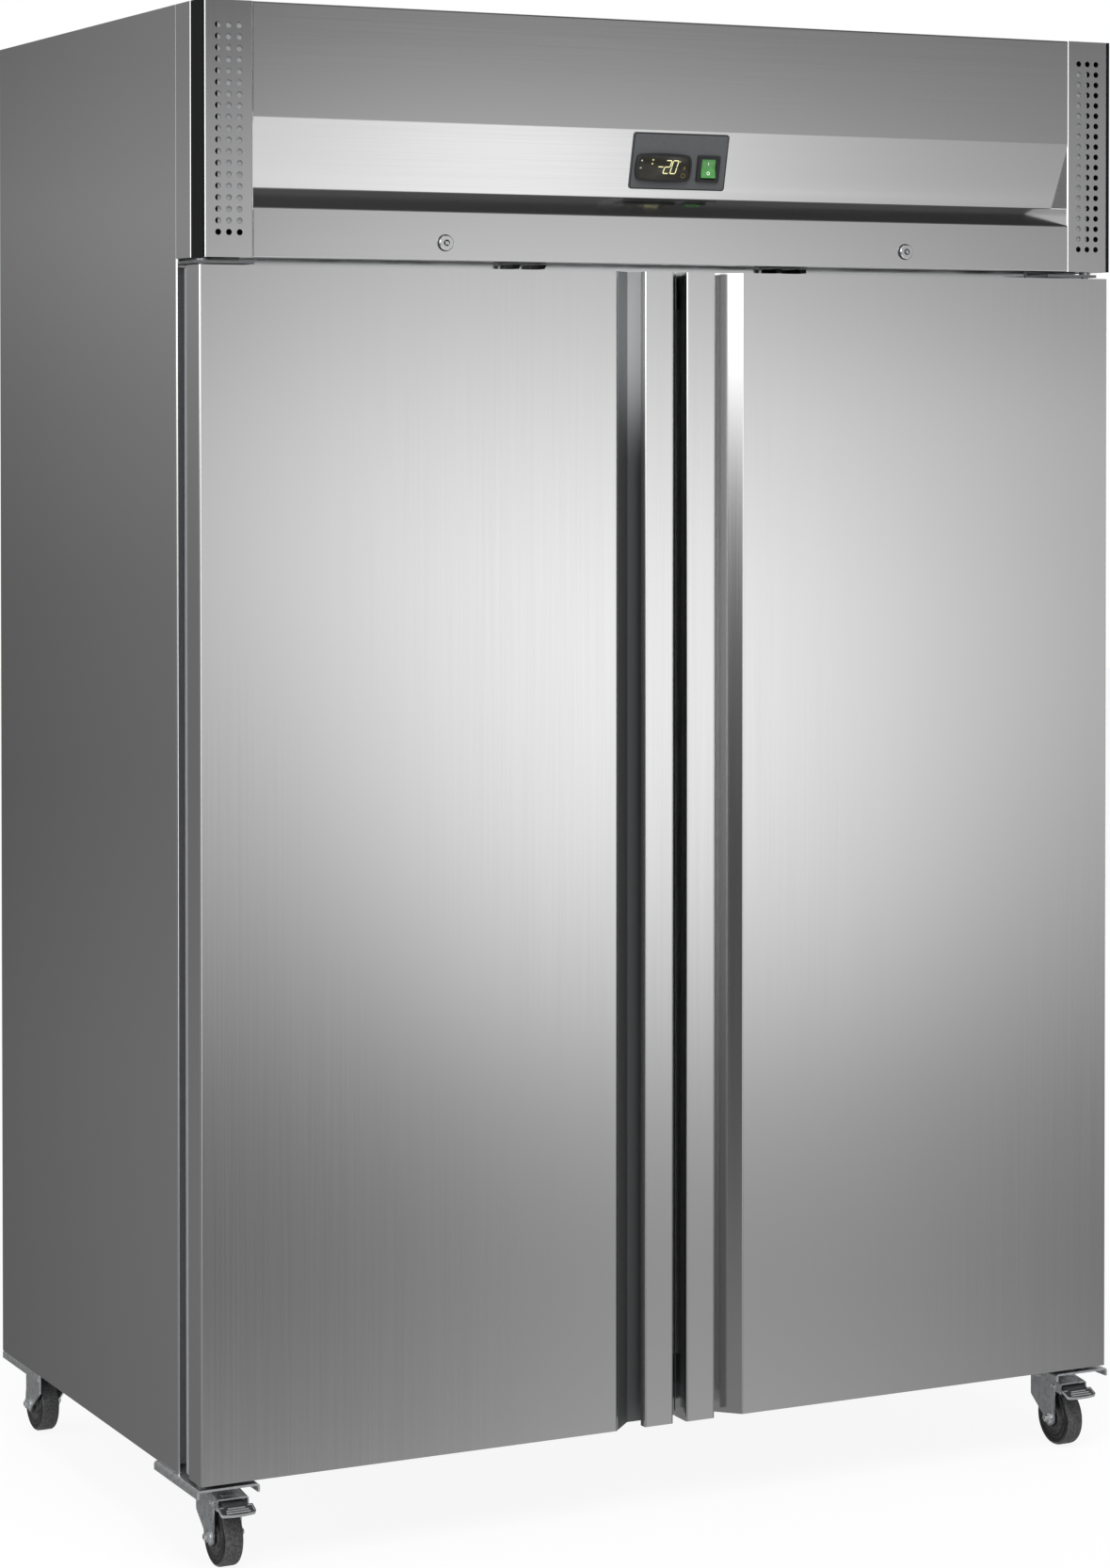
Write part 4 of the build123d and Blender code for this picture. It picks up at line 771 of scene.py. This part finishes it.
def makeDot(name, radius):
    dot = startPiece(name, bpy.ops.mesh.primitive_cylinder_add, vertices=20, radius=radius * mm,
                     depth=display["printThick"] * mm)
    pick(dot, "FACE", lambda f: f.normal.z > 0.9)
    bpy.ops.mesh.bevel(offset=display["printEdge"] * mm, segments=2, affect="EDGES")
    deselectAll()
    return dot


def makeSign(name, radius, wall):
    return makeRing(name, radius, wall, display["printThick"], 28)


dim = litLens("dimGoldPrint", "#5b4a24", "#72602f", 0.15, 2.0)
pale = litLens("whiteKeyPrint", "#d2d2cd", "#e6e6e2", 0.25, 2.0)
amber = litLens("litAmberLed", "#b0a878", "#c4bd90", 0.20, 2.0)
for index, (x, y) in enumerate(display["dots"]):
    printOnGlass(makeDot("displayDot_" + str(index), display["dotRadius"]), amber, x, y)
printOnGlass(makeSign("displayDegree", *display["degreeRing"]), amber, *display["degree"])
printOnGlass(makeSign("displayIconRing", *display["iconRing"]), dim, *display["icons"][1])
flake = [makeBar(*display["flakeBar"], turn * math.pi / 3) for turn in range(3)]
printOnGlass(joinPieces(flake, "displayIconFlake"), dim, *display["icons"][0])
for index, (x, y) in enumerate(display["keys"]):
    bars = [makeBar(*display["keyBar"], way * display["keyTurn"], -way * display["keyAside"]) for way in (1, -1)]
    printOnGlass(joinPieces(bars, "displayKey_" + str(index)), pale, x, y)
print("display made")

# marks on the rocker: place across its face, height over it and lean
rockerMarks = {
    "centre": 44.0, "ring": (-14.15, 4.83, -19.6), "ringSize": (2.4, 0.75),
    "bar": (-1.7, 2.87, 1.8), "barSize": (4.6, 0.55),
}


def printOnRocker(mark, name, y, z, tilt):
    mark.name = mark.data.name = name
    settle(mark, "rocker", [pale],
           bandPlace @ Matrix.Translation((rockerMarks["centre"] * mm, y * mm, z * mm))
           @ Matrix.Rotation(math.radians(tilt), 4, "X"))


printOnRocker(makeSign("rockerRing", *rockerMarks["ringSize"]), "rockerRing", *rockerMarks["ring"])
printOnRocker(makeBar(*rockerMarks["barSize"], math.pi / 2), "rockerBar", *rockerMarks["bar"])
print("rocker marks made")

# black ring round each lock, painted shade round the barrel, and the ring-shaped key slot in its plug, painted
# shade of the keyhole: radius, wall and depth
lock = {
    "place": (-350.0, 1707.0), "panel": -403.5, "shadeRing": (11.0, 1.3, 0.9),
    "plug": -408.5, "slot": (4.3, 1.1, 0.16), "slotSink": 0.02,
}
faceFront = (math.pi / 2, 0, 0)
for side, sign in (("left", 1), ("right", -1)):
    x, z = lock["place"][0] * sign * mm, lock["place"][1] * mm
    # black ring round the barrel: painted shade
    shadeRingY = (lock["panel"] - lock["shadeRing"][2] / 2) * mm
    shadeRing = makeRing("lockShadeRing_" + side, *lock["shadeRing"], 48, faceFront)
    settle(shadeRing, "cabinet", [skins["black_plastic"]], Matrix.Translation((x, shadeRingY, z)))
    # black ring in the plug: painted shade of the keyhole
    slotY = (lock["plug"] - lock["slot"][2] / 2 + lock["slotSink"]) * mm
    keySlot = makeRing("keySlot_" + side, *lock["slot"], 48, faceFront)
    settle(keySlot, "lock_" + side, [skins["black_plastic"]], Matrix.Translation((x, slotY, z)))
print("lock rings made")

# dark printed line round the control plate
plateLine = {"size": (144.0, 76.0), "corner": 4.0, "width": 1.3, "front": 1.5, "lift": 0.02, "thick": 0.12}
line = startPiece("plateLine", bpy.ops.mesh.primitive_plane_add, size=1)
pick(line, "VERT", lambda v: True)
bpy.ops.transform.resize(value=(*[v * mm for v in plateLine["size"]], 1))
bpy.ops.mesh.bevel(offset=plateLine["corner"] * mm, segments=5, affect="VERTICES")
pick(line, "FACE", lambda f: True)
bpy.ops.mesh.inset(thickness=plateLine["width"] * mm)
bpy.ops.mesh.delete(type="FACE")
deselectAll()
line.select_set(True)
wall = line.modifiers.new("wall", "SOLIDIFY")
wall.thickness, wall.offset = plateLine["thick"] * mm, 1
bpy.ops.object.modifier_apply(modifier=wall.name)
settle(line, "cabinet", [skins["black_plastic"]],
       bandPlace @ Matrix.Translation((0, 0, (plateLine["front"] + plateLine["lift"]) * mm)))
print("plate line made")

# folded backing strips inside the perforated columns: a plate close behind the holes and a black one further back,
# painted shade behind the holes
backing = {
    "inner": 619.4, "thick": 1.0, "low": 1724.0, "fold": 14.0,
    "reach": {"left": 666.0, "right": 652.0}, "front": {"left": -401.5, "right": -401.2},
    "high": {"left": 2004.0, "right": 1969.0},
    "back": -369.5, "far": 683.5, "bottom": 1700.0, "top": 2004.0, "coverRim": 6.0, "coverStep": (1.0, -0.3),
    "coverEdge": 0.2,
}
# unpolished sheet behind the holes: even pale grey without a mirror
dullSheet = patterned("dullZincSheet", "#8e9092", "#989a9c", 0.50, 0.60, 0.4, "TexNoise", 8.0, 0.01)
inner, thick = backing["inner"], backing["thick"]
bend = (inner + thick) * mm
for side, sign in (("left", -1), ("right", 1)):
    wide, high = backing["reach"][side] - inner, backing["high"][side] - backing["low"]
    strip = addBlock("ventBacking_" + side, (wide, thick, high),
                     (sign * (inner + wide / 2), backing["front"][side] + thick / 2, backing["low"] + high / 2))
    pick(strip, "FACE", lambda f: True)
    bpy.ops.mesh.bisect(plane_co=(sign * bend, 0, 0), plane_no=(1, 0, 0))
    pick(strip, "FACE", lambda f: f.normal.y > 0.9 and abs(f.calc_center_median().x) < bend)
    bpy.ops.mesh.extrude_region_move(TRANSFORM_OT_translate={"value": (0, backing["fold"] * mm, 0)})
    settle(strip, "cabinet", [dullSheet])
    wide, high = backing["far"] - inner, backing["top"] - backing["bottom"]
    shadeCover = addBlock("ventShadeCover_" + side, (wide, thick, high),
                     (sign * (inner + wide / 2), backing["back"], backing["bottom"] + high / 2))
    pick(shadeCover, "FACE", lambda f: f.normal.y < -0.9)
    bpy.ops.mesh.inset(thickness=backing["coverRim"] * mm)
    bpy.ops.mesh.inset(thickness=backing["coverStep"][0] * mm, depth=backing["coverStep"][1] * mm)
    roundEdges(shadeCover, backing["coverEdge"])
    # black enamel on this cover is painted shade behind the holes
    settle(shadeCover, "cabinet", [skins["black_paint"]])
print("column backing made")

# turned-up front flange of the machine deck: closes the view from the rear slots
flange = {"half": 640.0, "front": -314.3, "thick": 1.0, "low": 1689.2, "rise": 46.0, "lip": 9.0, "edge": 0.25}
edge = addBlock("deckFlange", (2 * flange["half"], flange["thick"], flange["rise"]),
                (0, flange["front"] + flange["thick"] / 2, flange["low"] + flange["rise"] / 2))
lipFrom = (flange["low"] + flange["rise"] - flange["thick"]) * mm
pick(edge, "FACE", lambda f: True)
bpy.ops.mesh.bisect(plane_co=(0, 0, lipFrom), plane_no=(0, 0, 1))
pick(edge, "FACE", lambda f: f.normal.y > 0.9 and f.calc_center_median().z > lipFrom)
bpy.ops.mesh.extrude_region_move(TRANSFORM_OT_translate={"value": (0, flange["lip"] * mm, 0)})
deselectAll()
settle(roundEdges(edge, flange["edge"]), "cabinet", [skins["galvanised"]])
print("deck flange made")
